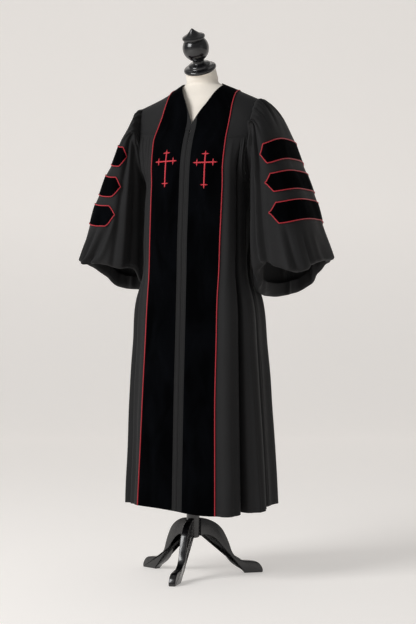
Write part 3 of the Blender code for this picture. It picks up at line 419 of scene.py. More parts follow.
def front_grid(side, columns, rows, gap=0):
    """A yoke and front by column (0 centre, FACING to EDGE the velvet, 1 armhole) and row (1 yoke seam, 2 hem)."""
    which, folds = (0, LEFT_FOLDS) if side > 0 else (1, RIGHT_FOLDS)
    columns = np.asarray(columns, float)
    beyond = np.clip((columns - EDGE) / (1 - EDGE), 0, 1)
    xs, _, way = quarter(ARMPIT_Z, facing_level(ARMPIT_Z)[which], True)
    part = (np.interp(beyond, way, xs) - xs[0]) / (xs[-1] - xs[0])

    def width(z, shoulder=False):
        if shoulder:
            inner, edge, outer = NECKLINE[-1][1 + which], SHOULDER_FACING_X[which], SHOULDER_X
            facing = inner + FACING_SET_BACK
        else:
            inner = np.maximum(neck_level(z)[which], SEAM / 2)
            near = inner + FACING_SET_BACK
            facing = (near + PLACKET + np.hypot(near - PLACKET, PLACKET_CORNER)) / 2
            inner = inner + gap * np.exp(-(((z - FLY_GAP_Z) / FLY_GAP_TALL) ** 2))
            edge, outer = facing_level(z)[which], armhole_x(z)
        near = mix(inner, facing, columns / FACING)
        middle = mix(facing, edge, (columns - FACING) / (EDGE - FACING))
        return np.where(columns <= FACING, near, np.where(columns <= EDGE, middle, mix(edge, outer, part)))

    grid, seam_z = [], FRONT_YOKE_Z[which]
    for row in rows:
        if row <= 1:
            z = mix(ridge_z(width(0, True)), seam_z + SEAM / 2, row)
        else:
            z = np.full(len(columns), mix(seam_z - SEAM / 2, HEM_Z, row - 1))
        x = width(z, row == 0)
        y = ridge_y(x) if row == 0 else wall_y(x, z, True)
        depth = np.zeros(len(columns))
        if row > 1:
            level = float(z[0])
            if level < ARMPIT_Z:
                xs, ys, way = quarter(level, facing_level(level)[which], True)
                x = np.where(columns > EDGE, np.interp(beyond, way, xs), x)
                y = np.where(columns > EDGE, np.interp(beyond, way, ys), y)
            depth = folded(folds, beyond, level, 0.06, HEM_Z) * ease(beyond / 0.12) * ease((1 - beyond) / 0.1)
            swell = BODY_CRUMPLE * crumple(np.stack([side * x, y, z], -1), 11)
            depth += swell * ease(beyond / 0.2) * ease((row - 1) / 0.08)
        grid.append(hung(x, y, z, depth, side, -1))
    return np.array(grid)


def back_grid(columns, rows):
    """The back below its yoke; columns run from -1 at the right side to 1 at the left."""
    columns = np.asarray(columns, float)
    side, across = np.where(columns >= 0, 1, -1), np.abs(columns)
    uneven = across + 0.01 * np.sin(9 * columns + 1)
    flutes = BACK_FLUTE_DEPTH * (np.abs(np.cos(math.pi * BACK_FLUTES * uneven)) ** 0.7 - 0.6)
    grid = []
    for row in rows:
        level = mix(BACK_YOKE_Z - SEAM / 2, HEM_Z, row - 1)
        z = np.full(len(columns), level)
        xs, ys, way = quarter(min(level, ARMPIT_Z), 0, False)
        x, y = np.interp(across, way, xs), np.interp(across, way, ys)
        if level > ARMPIT_Z:
            x = armhole_x(z) * x / xs[-1]
            y = wall_y(x, z, False)
        grown = (BACK_YOKE_Z - level) / BACK_FLUTE_LENGTH
        depth = folded(BACK_FOLDS, across, level, 0.06, HEM_Z)
        depth += flutes * ease(grown / 0.06) * ease(1 - grown) * ease((0.93 - across) / 0.1)
        depth += BODY_CRUMPLE * crumple(np.stack([side * x, y, z], -1), 11) * ease((row - 1) / 0.08)
        grid.append(hung(x, y, z, depth * ease((1 - across) / 0.1), side, 1))
    return np.array(grid)


def back_yoke_grid(columns, rows):
    """The back yoke. Row 1 is the velvet's lower edge and row 2 the yoke seam."""
    columns = np.asarray(columns, float)
    side, column = np.where(columns >= 0, 1, -1), np.abs(columns)
    x_top = column * SHOULDER_X
    neck = np.minimum(x_top / NECK_SIDE_X, 1)
    top = np.where(neck < 1, mix(BACK_NECK_Z, NECK_SIDE_Z, neck**2), ridge_z(x_top))
    last = np.where(columns >= 0, *SHOULDER_FACING_X) / SHOULDER_X
    edge = 0.06 + BACK_FACING_DROP * np.maximum(1 - (column / last) ** 2, 0)
    grid = []
    for row in rows:
        share = edge * row if row <= 1 else mix(edge, 1, row - 1)
        z = mix(top, BACK_YOKE_Z + SEAM / 2, share)
        x = column * armhole_x(mix(SHOULDER_Z, BACK_YOKE_Z, share))
        y = np.where((share > 0) | (neck < 1), wall_y(x, z, False), ridge_y(x))
        grid.append(np.stack([side * x, y + SEAM / 2, z], -1))
    return np.array(grid)


def sleeve_grid(word, degrees, rings):
    """A sleeve by degrees round it (0 outside, 90 at the front) and ring down from the armhole."""
    side = 1 if word == "left" else -1
    around = wrapped(np.asarray(degrees, float))
    turn = np.radians(around)
    c, s = np.cos(turn), np.sin(turn)
    outside = (1 + c) / 2
    hem_z = sleeve_hem[word](around)[0] - SLEEVE[LOWEST_RING][1]

    def base(ring):
        outer_x, outer_z, inner_x, inner_z, centre_y, half_depth, front_drop, back_drop, square = sleeve_ring(ring)
        further, higher, lower_front = sleeve_shift[word](ring)
        a, b = (np.sign(v) * np.abs(v) ** (2 / square) for v in (c, s))
        x, y = mix(inner_x, outer_x + further, (1 + a) / 2), centre_y - half_depth * b
        z = outer_z + higher - np.where(s > 0, front_drop + lower_front, back_drop) * np.abs(s) ** 3
        inside = np.where(s > 0, np.maximum(-c - 0.22, 0) / 0.78, np.maximum(-c, 0))
        z = z - (outer_z + higher - inner_z) * inside**1.2
        return np.stack([x, y, mix(z, outer_z + hem_z, ease((ring - 9.5) / (LOWEST_RING - 9.5)))])

    seam_z = mix(ARMPIT_Z, SHOULDER_Z, outside)
    seam_x = armhole_x(seam_z)
    seam_y = np.where(c > 0.9999, ridge_y(seam_x), wall_y(seam_x, seam_z, s > 0))
    seam_y = np.where(c < -0.9999, body_level(ARMPIT_Z)[1], seam_y)
    to_seam = np.stack([seam_x + SEAM * 2, seam_y, seam_z]) - base(0)
    ripple = np.cos(HEM_WAVES * turn + 0.7 + side * 0.5) + 0.5 * np.cos((HEM_WAVES + 3) * turn + 2 * side)
    grid = []
    for ring in rings:
        x, y, z = base(ring) + to_seam * (1 - min(ring, 1)) ** 2
        swell = folded(SLEEVE_FOLDS[word], around, ring, 0.25, len(SLEEVE))
        for at_top, at_end, end, wide, deep in CAP_GATHERS[word]:
            grown = min(ring / end, 1)
            off = np.abs(wrapped(around - mix(at_top, at_end, grown))) / mix(wide, wide * 1.5, grown)
            swell += GATHER * deep * ease(ring / 0.35) * ease((1 - grown) / 0.75) * np.exp(-(off**1.5))
        swell += CAP_PUFF * ease(ring / 0.7) * ease((6 - ring) / 4) * outside
        swell += HEM_WAVE_DEPTH * np.interp(ring, range(len(SLEEVE)), HEM_WAVE_RINGS) * ripple * outside
        swell += crumple(np.stack([x, y, z], -1), 3 * side) * ease(ring / 2)
        grid.append(np.stack([side * (x + swell * c), y - swell * s, z], -1))
    return np.array(grid)


# ---- meshes


def normals_of(grid, flip=1, closed=False):
    """Outward normals at a grid's points."""
    across = np.roll(grid, -1, 1) - np.roll(grid, 1, 1) if closed else np.gradient(grid, axis=1)
    return unit(np.cross(np.gradient(grid, axis=0), across) * flip)


def tube_faces(rows, count, looped=False):
    """Faces of rings of count points: joined again at the end of the loop, or else closed by a face at each end."""
    faces = [] if looped else [tuple(range(count)), tuple(range((rows - 1) * count, rows * count))]
    for r in range(rows if looped else rows - 1):
        here, below = r * count, (r + 1) % rows * count
        faces += [(here + i, here + (i + 1) % count, below + (i + 1) % count, below + i) for i in range(count)]
    return faces


def wall(outer, inner, closed=False):
    """Points, faces and texture coordinates of a wall between two grids, closed at its edges."""
    rows, count = outer.shape[:2]
    u = running(np.linalg.norm(np.diff(outer, axis=1), axis=2).mean(0))
    v = running(np.linalg.norm(np.diff(outer, axis=0), axis=2).mean(1))
    uvs = np.tile(np.stack(np.meshgrid(u, v), -1).reshape(-1, 2), (2, 1))
    far, span = rows * count, count if closed else count - 1
    r, c = np.meshgrid(np.arange(rows - 1), np.arange(span), indexing="ij")
    a, b = r * count + c, r * count + (c + 1) % count
    quads = np.stack([a, a + count, b + count, b], -1).reshape(-1, 4)
    border = [(first + i, first + (i + 1) % count) for first in (0, far - count) for i in range(span)]
    if not closed:
        border += [(i * count + e, (i + 1) * count + e) for i in range(rows - 1) for e in (0, count - 1)]
    faces = quads.tolist() + (far + quads[:, ::-1]).tolist() + [(i, j, far + j, far + i) for i, j in border]
    return np.concatenate([outer.reshape(-1, 3), inner.reshape(-1, 3)]), faces, uvs


def add_mesh(name, points, faces, uvs, material, node_name=None, angle=50):
    """A named piece that rides with the object. Points are in the gown's own place."""
    points = np.array(points, float)
    points[:, 2] += shoulder_lean(points[:, 0])[0] * ease((points[:, 2] - ARMPIT_Z) / 0.2)
    mesh = bpy.data.meshes.new(name)
    mesh.from_pydata((points + ORIGIN).tolist(), [], faces)
    corners = np.zeros(len(mesh.loops), int)
    mesh.loops.foreach_get("vertex_index", corners)
    mesh.uv_layers.new(name="cloth").data.foreach_set("uv", np.asarray(uvs, float)[corners].ravel())
    made = bmesh.new()
    made.from_mesh(mesh)
    bmesh.ops.recalc_face_normals(made, faces=made.faces)
    if made.calc_volume(signed=True) < 0:
        bmesh.ops.reverse_faces(made, faces=made.faces)
    made.to_mesh(mesh)
    made.free()
    mesh.shade_smooth()
    mesh.set_sharp_from_angle(angle=math.radians(angle))
    mesh.materials.append(material)
    piece = bpy.data.objects.new(name, mesh)
    bpy.context.scene.collection.objects.link(piece)
    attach(piece, "root")
    if node_name:
        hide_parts(node_name)
    return piece


def shell(name, outer, normals, thickness, material, node_name, closed=False):
    """Cloth of a thickness under a grid of outer points."""
    thickness = np.broadcast_to(thickness, outer.shape[:2])[..., None]
    return add_mesh(name, *wall(outer, outer - normals * thickness, closed), material, node_name)


def together(parts):
    """Points, faces and texture coordinates of several parts in one mesh."""
    points, faces, uvs = [], [], []
    for part_points, part_faces, part_uvs in parts:
        faces += [tuple(len(points) + i for i in face) for face in part_faces]
        points += list(part_points)
        uvs += list(part_uvs)
    return points, faces, uvs


def piping(name, edge, behind, outs, node_name, tuck=0.55, lift=LIFT, looped=False, sides=10):
    """A round red cord on the cloth along the edge of the velvet, whose inner points are behind it."""
    radius = bpy.context.scene.gown_sizes.cord
    path = edge + unit(edge - behind) * radius * tuck + outs * (lift + radius)
    along = unit(np.roll(path, -1, 0) - np.roll(path, 1, 0) if looped else np.gradient(path, axis=0))
    cross = unit(np.cross(along, outs))
    turn = np.linspace(0, 2 * math.pi, sides, endpoint=False)[:, None]
    ring = cross[:, None] * np.cos(turn) + np.cross(cross, along)[:, None] * np.sin(turn)
    way = running(np.linalg.norm(np.diff(path, axis=0), axis=1))
    uvs = np.stack([np.repeat(way, sides), np.tile(turn[:, 0] * radius, len(path))], -1)
    points = (path[:, None] + radius * ring).reshape(-1, 3)
    return add_mesh(name, points, tube_faces(len(path), sides, looped), uvs, red_satin("Red piping"), node_name)


def stitches(name, lines):
    """Sewn stitches along lines of (path, outward directions), all in one piece."""
    step, parts = bpy.context.scene.gown_sizes.stitch, []
    for path, outs in lines:
        way = running(np.linalg.norm(np.diff(path, axis=0), axis=1))
        at = np.linspace(0, way[-1], max(int(way[-1] / step), 2))
        path, outs = (np.stack([np.interp(at, way, values[:, i]) for i in range(3)], -1) for values in (path, outs))
        along = unit(np.gradient(path, axis=0))
        for p, t, o, w in zip(path, along, outs, unit(np.cross(along, outs))):
            points, uvs = [], []
            for f, r, rise in ((-0.5, 0.25, 0.05), (-0.3, 1, 0.5), (0.3, 1, 0.5), (0.5, 0.25, 0.05)):
                centre = p + t * STITCH_LONG * f + o * STITCH_THICK * rise
                points += [centre + out * STITCH_THICK * r for out in (w, o, -w, -o * 0.5)]
                uvs += [(f * STITCH_LONG, 0)] * 4
            parts.append((points, tube_faces(4, 4), uvs))
    return add_mesh(name, *together(parts), gown_cloth())


def turned(name, profile, steps, place, material, node_name):
    """A turned piece from radius and height pairs, closed at both ends."""
    profile = np.asarray(profile, float)
    angle = np.linspace(0, 2 * math.pi, steps, endpoint=False)
    around = np.stack([np.cos(angle), np.sin(angle)], -1)
    points = np.concatenate([np.c_[around * r, np.full(steps, h)] for r, h in profile])
    points = points @ np.array(place.to_3x3()).T + np.array(place.translation)
    uvs = np.stack([np.tile(angle, len(profile)) * 0.05, np.repeat(profile[:, 1], steps)], -1)
    return add_mesh(name, points, tube_faces(len(profile), steps), uvs, material, node_name, angle=40)


# ---- finishes


def node(tree, kind, inputs=None, **settings):
    """A shader node with its settings, and its inputs joined to sockets or given values."""
    made = tree.nodes.new("ShaderNode" + kind)
    for key, value in settings.items():
        setattr(made, key, value)
    for key, value in (inputs or {}).items():
        if isinstance(value, bpy.types.NodeSocket):
            tree.links.new(value, made.inputs[key])
        else:
            made.inputs[key].default_value = value
    return made


def grain(tree, place, scale, detail, stretch=None, **more):
    """A cloudy pattern over a place, squeezed along its axes by the numbers of stretch."""
    if stretch:
        place = node(tree, "Mapping", {"Vector": place, "Scale": stretch}).outputs["Vector"]
    return node(tree, "TexNoise", {"Vector": place, "Scale": scale, "Detail": detail, **more}).outputs["Fac"]


def yarns(tree, place, pitch, turn=0):
    """Fine parallel ribs a pitch apart, turned from the cloth's width."""
    place = node(tree, "Mapping", {"Vector": place, "Rotation": (0, 0, turn)}).outputs["Vector"]
    inputs = {"Vector": place, "Scale": 0.314 / pitch, "Distortion": 0.4, "Detail": 1}
    return node(tree, "TexWave", inputs).outputs["Fac"]


def spread(tree, value, low, high, start=0, stop=1):
    """A pattern's values from start to stop spread from low to high."""
    inputs = {"Value": value, "From Min": start, "From Max": stop, "To Min": low, "To Max": high}
    return node(tree, "MapRange", inputs).outputs["Result"]


def tinted(tree, colour, pattern, low, high):
    """The colour, from darker to lighter by a pattern."""
    ends = [(*(share * value for value in colour), 1) for share in (low, high)]
    return node(tree, "Mix", {0: pattern, 6: ends[0], 7: ends[1]}, data_type="RGBA").outputs[2]


def finish(name, pattern, **sockets):
    """The named material, made once: its constants on the shader's own sockets, and what its pattern gives."""
    if found := bpy.data.materials.get(name):
        return found
    made = bpy.data.materials.new(name)
    made.use_nodes = True
    tree, shader = made.node_tree, made.node_tree.nodes["Principled BSDF"]
    for key, value in sockets.items():
        shader.inputs[key.replace("_", " ")].default_value = value
    at = node(tree, "TexCoord").outputs
    colour, roughness, bumps = pattern(tree, at["UV"], at["Object"])
    tree.links.new(colour, shader.inputs["Base Color"])
    if roughness:
        tree.links.new(roughness, shader.inputs["Roughness"])
    normal = {}
    for height, strength, distance in bumps:
        below = node(tree, "Bump", {"Height": height, "Strength": strength, "Distance": distance, **normal})
        normal = {"Normal": below.outputs["Normal"]}
        tree.links.new(below.outputs["Normal"], shader.inputs["Normal"])
    return made


def gown_cloth():
    """Matt worsted in a fine twill."""

    def pattern(tree, cloth, place):
        twill, weft = yarns(tree, cloth, 0.0011, math.radians(63)), yarns(tree, cloth, 0.0006)
        cloud = grain(tree, place, 7, 4, Roughness=0.6)
        slub = grain(tree, cloth, 1, 2, (900, 60, 1))
        woven = node(tree, "Math", {0: twill, 1: slub, 2: cloud}, operation="MULTIPLY_ADD").outputs[0]
        colour = tinted(tree, bpy.context.scene.gown_finishes.cloth, woven, 0.78, 1.3)
        bumps = (grain(tree, place, 26, 3), 0.35, 0.0012), (weft, 0.25, 0.0001), (twill, 0.45, 0.00018)
        return colour, spread(tree, slub, 0.62, 0.86), bumps

    return finish("Gown cloth", pattern, Specular_IOR_Level=0.18, Sheen_Weight=0.05, Sheen_Roughness=0.5,
                  Sheen_Tint=(0.75, 0.77, 0.8, 1))


def black_velvet():
    """Deep velvet whose nap is brushed in soft patches."""

    def pattern(tree, cloth, place):
        brushed = grain(tree, place, 16, 3, (1, 1, 0.35), Roughness=0.55, Distortion=0.6)
        patches = spread(tree, brushed, 0, 1, 0.35, 0.7)
        colour = tinted(tree, bpy.context.scene.gown_finishes.velvet, patches, 0.55, 1.9)
        bumps = (brushed, 0.3, 0.0015), (grain(tree, place, 1400, 2), 0.6, 0.0003)
        return colour, spread(tree, patches, 0.95, 0.8), bumps

    return finish("Black velvet", pattern, Specular_IOR_Level=0.02, Sheen_Weight=0.012, Sheen_Roughness=0.3,
                  Sheen_Tint=(0.55, 0.6, 0.75, 1))


def red_satin(name):
    """Wound satin cord for the piping, or the crosses' thread."""
    colours = bpy.context.scene.gown_finishes
    colour, pitch, turn, gloss = {"Red piping": (colours.piping, 0.0009, math.radians(40), 0.42),
                                  "Red embroidery": (colours.embroidery, 0.0007, 0, 0.34)}[name]

    def pattern(tree, cloth, place):
        wound = yarns(tree, cloth, pitch, turn)
        rough = spread(tree, wound, gloss + 0.12, gloss)
        return tinted(tree, colour, wound, 0.72, 1.15), rough, [(wound, 0.6, 0.0002)]

    return finish(name, pattern, Specular_IOR_Level=0.5, Sheen_Weight=0.15, Sheen_Roughness=0.4,
                  Sheen_Tint=(1, 0.6, 0.6, 1))


def jersey():
    """Cream stretch jersey over the form."""

    def pattern(tree, cloth, place):
        cloud, fuzz = grain(tree, place, 18, 4), grain(tree, place, 900, 2)
        bumps = (cloud, 0.15, 0.001), (yarns(tree, cloth, 0.0012), 0.35, 0.00015), (fuzz, 0.2, 0.0001)
        colour = tinted(tree, bpy.context.scene.gown_finishes.jersey, cloud, 0.93, 1.05)
        return colour, spread(tree, cloud, 0.75, 0.9), bumps

    return finish("Cream jersey", pattern, Specular_IOR_Level=0.2, Sheen_Weight=0.12, Sheen_Roughness=0.5)


def lacquer():
    """Glossy black lacquer over wood, with faint grain and handling marks."""

    def pattern(tree, cloth, place):
        wood = grain(tree, place, 160, 4, (1, 1, 0.12))
        marks = grain(tree, place, 35, 6, Roughness=0.7)
        colour = tinted(tree, bpy.context.scene.gown_finishes.lacquer, wood, 0.8, 1.25)
        return colour, spread(tree, marks, 0.16, 0.34, 0.35, 0.7), ((wood, 0.08, 0.0004), (marks, 0.06, 0.0006))

    return finish("Black lacquer", pattern, Specular_IOR_Level=0.5, Coat_Weight=0.6, Coat_Roughness=0.08)


def brushed_steel():
    """The pole's steel, brushed along its length."""

    def pattern(tree, cloth, place):
        lines = grain(tree, place, 900, 3, (1, 1, 0.01))
        colour = tinted(tree, bpy.context.scene.gown_finishes.steel, lines, 0.85, 1.1)
        return colour, spread(tree, lines, 0.22, 0.42), [(lines, 0.2, 0.0001)]

    return finish("Brushed steel", pattern, Metallic=1)


def pale_floor():
    """The matt floor and backdrop, which give a little light themselves."""
    stage = bpy.context.scene.gown_stage

    def pattern(tree, cloth, place):
        return tinted(tree, stage.floor, grain(tree, place, 1.5, 3), 0.985, 1.015), None, ()

    return finish("Pale floor", pattern, Roughness=0.9, Specular_IOR_Level=0.1, Emission_Color=(*stage.floor, 1),
                  Emission_Strength=stage.glow)


# ---- what a user changes


def colour_of(name, description, default):
    return bpy.props.FloatVectorProperty(name=name, description=description, default=default, min=0, max=1,
                                         subtype="COLOR")


def size_of(name, description, default, least=0, most=10):
    return bpy.props.FloatProperty(name=name, description=description, default=default, min=least, max=most,
                                   precision=4, subtype="DISTANCE", unit="LENGTH")


def amount_of(name, description, default, **kind):
    return bpy.props.FloatProperty(name=name, description=description, default=default, min=0, **kind)


class GownFinishes(bpy.types.PropertyGroup):
    """Colours of the gown, the form and the stand."""

    cloth: colour_of("Cloth", "Colour of the gown's twill", (0.013, 0.013, 0.0136))
    velvet: colour_of("Velvet", "Colour of the facings and sleeve bars", (0.001, 0.0012, 0.0017))
    piping: colour_of("Piping", "Colour of the thin cord on the velvet's edges", (0.5, 0.012, 0.026))
    embroidery: colour_of("Embroidery", "Colour of the crosses' thread", (0.66, 0.02, 0.04))
    jersey: colour_of("Jersey", "Colour of the form's cover", (0.95, 0.89, 0.8))
    lacquer: colour_of("Lacquer", "Colour of the cap, the finial, the hub and the legs", (0.004, 0.004, 0.005))
    steel: colour_of("Steel", "Colour of the pole", (0.42, 0.42, 0.43))


class GownSizes(bpy.types.PropertyGroup):
    """Thicknesses and trims of the gown."""

    cloth: size_of("Cloth", "Thickness of the gown's cloth", 0.0012, 0.0005, 0.003)
    hem: size_of("Hem", "Extra thickness of the turned hem", 0.0012, 0, 0.004)
    velvet: size_of("Velvet", "Thickness of the velvet", 0.0014, 0.0005, 0.004)
    cord: size_of("Piping", "Radius of the piping", 0.0017, 0.0005, 0.004)
    stitch: size_of("Stitch", "Distance from one stitch to the next", 0.0034, 0.002, 0.01)
    cross_x: size_of("Cross place", "Distance of each cross from the centre of the front", 0.066)
    cross_z: size_of("Cross height", "Height of each cross's bar above the floor", 1.302)
    cross_line: size_of("Cross line", "Width of the crosses' embroidered line", 0.0044, 0.002, 0.01)
    leg: size_of("Leg", "Thickness of a leg of the stand", 0.022, 0.01, 0.04)


class GownStage(bpy.types.PropertyGroup):
    """The floor, the lights and the camera."""

    floor: colour_of("Floor", "Colour of the floor and the backdrop", (0.8, 0.775, 0.75))
    key: amount_of("Key light", "Power of the large light on the left", 165, unit="POWER")
    fill: amount_of("Fill light", "Power of the soft light on the right", 3, unit="POWER")
    around: amount_of("Surroundings", "Strength of the even light from all round", 0.22)
    distant: amount_of("Background", "Strength of the background that shows past the backdrop", 0.75)
    glow: amount_of("Floor glow", "Even light that the floor and backdrop give", 0.425)
    azimuth: amount_of("Azimuth", "Turn of the camera to the wearer's left", math.radians(22), subtype="ANGLE")
    distance: size_of("Distance", "Distance of the camera from the gown", 5, 1)
    height: size_of("Camera height", "Height of the camera above the floor", 0.834)
    lens: amount_of("Lens", "Focal length in millimetres", 90.58)


# ---- grids of the gown's pieces

SIDES = (("left", 1), ("right", -1))
YOKE_ROWS = [0, 0.008] + between(0.03, 0.955, 24) + [0.975, 0.985, 0.992, 1]
HEM_ROWS = between(1.9605, 1.992, 7) + [1.996, 1.9985, 2]
SKIRT_ROWS = [1 + 1e-9] + between(1.003, 1.03, 6) + between(1.036, 1.955, 150) + HEM_ROWS
BACK_ROWS = [1 + 1e-9] + between(1.004, 1.14, 22) + between(1.147, 1.955, 128) + HEM_ROWS
FRONT_COLUMNS = [0, 0.003, 0.007, 0.012, 0.02, 0.03, 0.042, 0.055, 0.068, 0.08, 0.088, 0.095, FACING]
FRONT_COLUMNS += between(0.14, 0.46, 9) + [EDGE, 0.506, 0.512] + between(0.52, 0.98, 76) + [0.988, 0.994, 1]
VELVET_COLUMNS = np.array([0, 0.004, 0.011, 0.022] + between(0.05, 0.95, 20) + [0.978, 0.989, 0.996, 1])
NECK_COLUMN = NECK_SIDE_X / SHOULDER_X
BACK_YOKE_HALF = [0.05, 0.1, 0.16, 0.21, 0.25, 0.28, 0.305, NECK_COLUMN, 0.34, 0.37, 0.41, 0.45, 0.5, 0.54, 0.58, 0.62,
                  0.68, 0.74, 0.8, 0.86, 0.92, 0.97, 1]
BACK_YOKE_COLUMNS = [-c for c in reversed(BACK_YOKE_HALF)] + [0] + BACK_YOKE_HALF
BACK_YOKE_ROWS = [0, 0.08, 0.16] + between(0.25, 1, 8) + between(1.1, 1.9, 9) + [1.94, 1.97, 2]
BACK_VELVET_ROWS = [0, 0.02, 0.05, 0.1] + between(0.2, 0.9, 10) + [0.96, 0.98, 0.99, 1]
SLEEVE_RINGS = between(0, 5, 44)[:-1] + between(5, 12.6, 62)[:-1] + between(12.6, 15, 20)[:-1] + between(15, 16, 5)


def hemmed(grid):
    """Thickness of a piece of cloth, thicker where its hem is turned up."""
    sizes = bpy.context.scene.gown_sizes
    return sizes.cloth + sizes.hem * ease((HEM_Z + HEM_TALL - grid[..., 2]) / 0.003)


def yoke_shell(name, grid, normals, rows, start, over, node_name):
    """A yoke whose lower edge lies turned over the seam from a row on."""
    rise = YOKE_RISE * ease((np.array(rows) - start) / over)[:, None]
    thickness = bpy.context.scene.gown_sizes.cloth + rise
    return shell(name, grid + normals * rise[..., None], normals, thickness, gown_cloth(), node_name)


def bar_bed(word, top, bottom, rows=15):
    """A bar's bed on its sleeve: points and normals, narrowing to a point at both ends."""
    start, stop = -BAR_BACK, BAR_FRONT[word]
    bends = start, start + BAR_POINT, stop - BAR_POINT, stop
    degrees = stretches(bends, (12, 74, 12))
    dense = sleeve_grid(word, degrees, np.linspace(top, bottom, 25))
    normals = normals_of(dense, -1 if word == "left" else 1)
    tall = np.clip(np.minimum(degrees - start, stop - degrees) / BAR_POINT, 0.03, 1)
    at = (np.linspace(-1, 1, rows)[:, None] * tall + 1) * 12
    low = np.clip(at.astype(int), 0, 23)
    f, c = (at - low)[..., None], np.arange(len(degrees))[None].repeat(rows, 0)
    return mix(dense[low, c], dense[low + 1, c], f), unit(mix(normals[low, c], normals[low + 1, c], f))


def chest(x, z):
    """Points of the velvet's face over points of its elevation, and outward normals."""
    step = 0.001
    here, right, up = (np.stack([x + a, wall_y(x + a, z + b, True), z + b], -1)
                       for a, b in ((0, 0), (step, 0), (0, step)))
    outs = unit(np.cross(right - here, up - here))
    return here + outs * (LIFT + bpy.context.scene.gown_sizes.velvet) - (0, SEAM / 2, 0), outs


# ---- operators


class GOWN_OT_form(bpy.types.Operator):
    """Shape the dress form under the gown"""

    bl_idname = "gown.form"
    bl_label = "Dress form"

    def execute(self, context):
        level, shoulder = smooth_rows(FORM), smooth_rows(FORM_SHOULDER)
        sections = [(z, *level(z)) for z in [0.845, 0.847, 0.85, 0.854] + between(0.86, 1.485, 46)]
        for x in between(0.153, 0.06, 14):
            sections.append((ridge_z(x) - FORM_RIDGE_DROP, x, ridge_y(x), *shoulder(x)))
        side_x, _, back = FORM_SHOULDER[0]
        neck = smooth_rows([(ridge_z(side_x) - FORM_RIDGE_DROP, side_x, ridge_y(side_x), 0.05, back), *NECK])
        sections += [(z, *neck(z)) for z in between(1.5655, NECK[-1][0], 8)]
        steps = 128
        turn = np.linspace(0, 2 * math.pi, steps, endpoint=False)
        c, s = np.cos(turn), np.sin(turn)
        rings = [np.stack([half * c, centre + np.where(s > 0, back, front) * s, np.full(steps, z)], -1)
                 for z, half, centre, front, back in sections]
        tilt = Matrix.Translation((0, NECK_TOP_Y, NECK_TOP_Z)) @ Matrix.Rotation(NECK_TILT, 4, "X")
        top = np.array([tilt @ Vector((NECK_TOP_RADIUS * a, NECK_TOP_RADIUS * b, 0)) for a, b in zip(c, s)])
        rings += [mix(rings[-1], top, f) for f in (0.15, 0.3, 0.45, 0.6, 0.75, 0.88, 0.96, 1)]
        points = np.concatenate(rings)
        uvs = np.stack([np.tile(turn * 0.12, len(rings)), points[:, 2]], -1)
        faces = tube_faces(len(rings), steps)
        form = add_mesh("dress_form", points, faces, uvs, jersey(), "form_torso", angle=60)
        return {"FINISHED"}


class GOWN_OT_body(bpy.types.Operator):
    """Cut and hang the yokes, the fronts and the back"""

    bl_idname = "gown.body"
    bl_label = "Body"

    def execute(self, context):
        for word, side in SIDES:
            grid = front_grid(side, FRONT_COLUMNS, YOKE_ROWS)
            yoke = yoke_shell(f"gown_yoke_{word}", grid, normals_of(grid, side), YOKE_ROWS, 0.93, 0.03, f"yoke_{word}")
            grid = front_grid(side, FRONT_COLUMNS, SKIRT_ROWS, gap=0.002)
            normals = normals_of(grid, side)
            turned_in = np.exp(-((np.array(FRONT_COLUMNS) / 0.006) ** 2)) * 0.0011
            outer = grid - normals * turned_in[None, :, None]
            front = shell(f"gown_front_{word}", outer, normals, hemmed(grid), gown_cloth(), f"front_{word}")
        grid = back_grid(between(-1, 1, 173), BACK_ROWS)
        back = shell("gown_back", grid, normals_of(grid, -1), hemmed(grid), gown_cloth(), "back")
        grid = back_yoke_grid(BACK_YOKE_COLUMNS, BACK_YOKE_ROWS)
        yoke = yoke_shell("gown_yoke_back", grid, normals_of(grid, -1), BACK_YOKE_ROWS, 1.9, 0.05, "yoke_back")
        return {"FINISHED"}


class GOWN_OT_sleeves(bpy.types.Operator):
    """Gather and hang the bell sleeves"""

    bl_idname = "gown.sleeves"
    bl_label = "Sleeves"

    def execute(self, context):
        for word, side in SIDES:
            grid = sleeve_grid(word, between(0, 360, 217)[:-1], SLEEVE_RINGS)
            normals, thick = normals_of(grid, -side, closed=True), context.scene.gown_sizes.cloth
            sleeve = shell(f"gown_sleeve_{word}", grid, normals, thick, gown_cloth(), f"sleeve_{word}", closed=True)
        return {"FINISHED"}


class GOWN_OT_facings(bpy.types.Operator):
    """Lay the velvet down the fronts and round the neck, with its piping"""

    bl_idname = "gown.facings"
    bl_label = "Velvet facings"

    def execute(self, context):
        thick = context.scene.gown_sizes.velvet
        for word, side in SIDES:
            grid = front_grid(side, mix(FACING, EDGE, VELVET_COLUMNS), YOKE_ROWS + SKIRT_ROWS[1:])
            normals = normals_of(grid, side)
            outer = grid + normals * (LIFT + thick)
            width = np.linalg.norm(outer[:, -1] - outer[:, 0], axis=1)[:, None]
            near = np.clip(np.minimum(VELVET_COLUMNS, 1 - VELVET_COLUMNS) * width / VELVET_ROUND, 0, 1)
            sunk = thick * 0.8 * (1 - np.sqrt(1 - (1 - near) ** 2))
            outer -= normals * sunk[..., None]
            facing = shell(f"velvet_facing_{word}", outer, normals, thick * 0.8, black_velvet(), f"velvet_{word}")
            piping(f"red_piping_{word}", grid[:, -1], grid[:, -3], normals[:, -1], f"piping_{word}")
        ends = -SHOULDER_FACING_X[1] / SHOULDER_X, SHOULDER_FACING_X[0] / SHOULDER_X
        grid = back_yoke_grid(np.unique(between(*ends, 56) + [-NECK_COLUMN, 0, NECK_COLUMN]), BACK_VELVET_ROWS)
        normals = normals_of(grid, -1)
        outer = grid + normals * (LIFT + thick)
        collar = shell("velvet_neck_back", outer, normals, thick, black_velvet(), "velvet_neck")
        piping("red_piping_neck", grid[-1], grid[-3], normals[-1], "piping_neck")
        return {"FINISHED"}


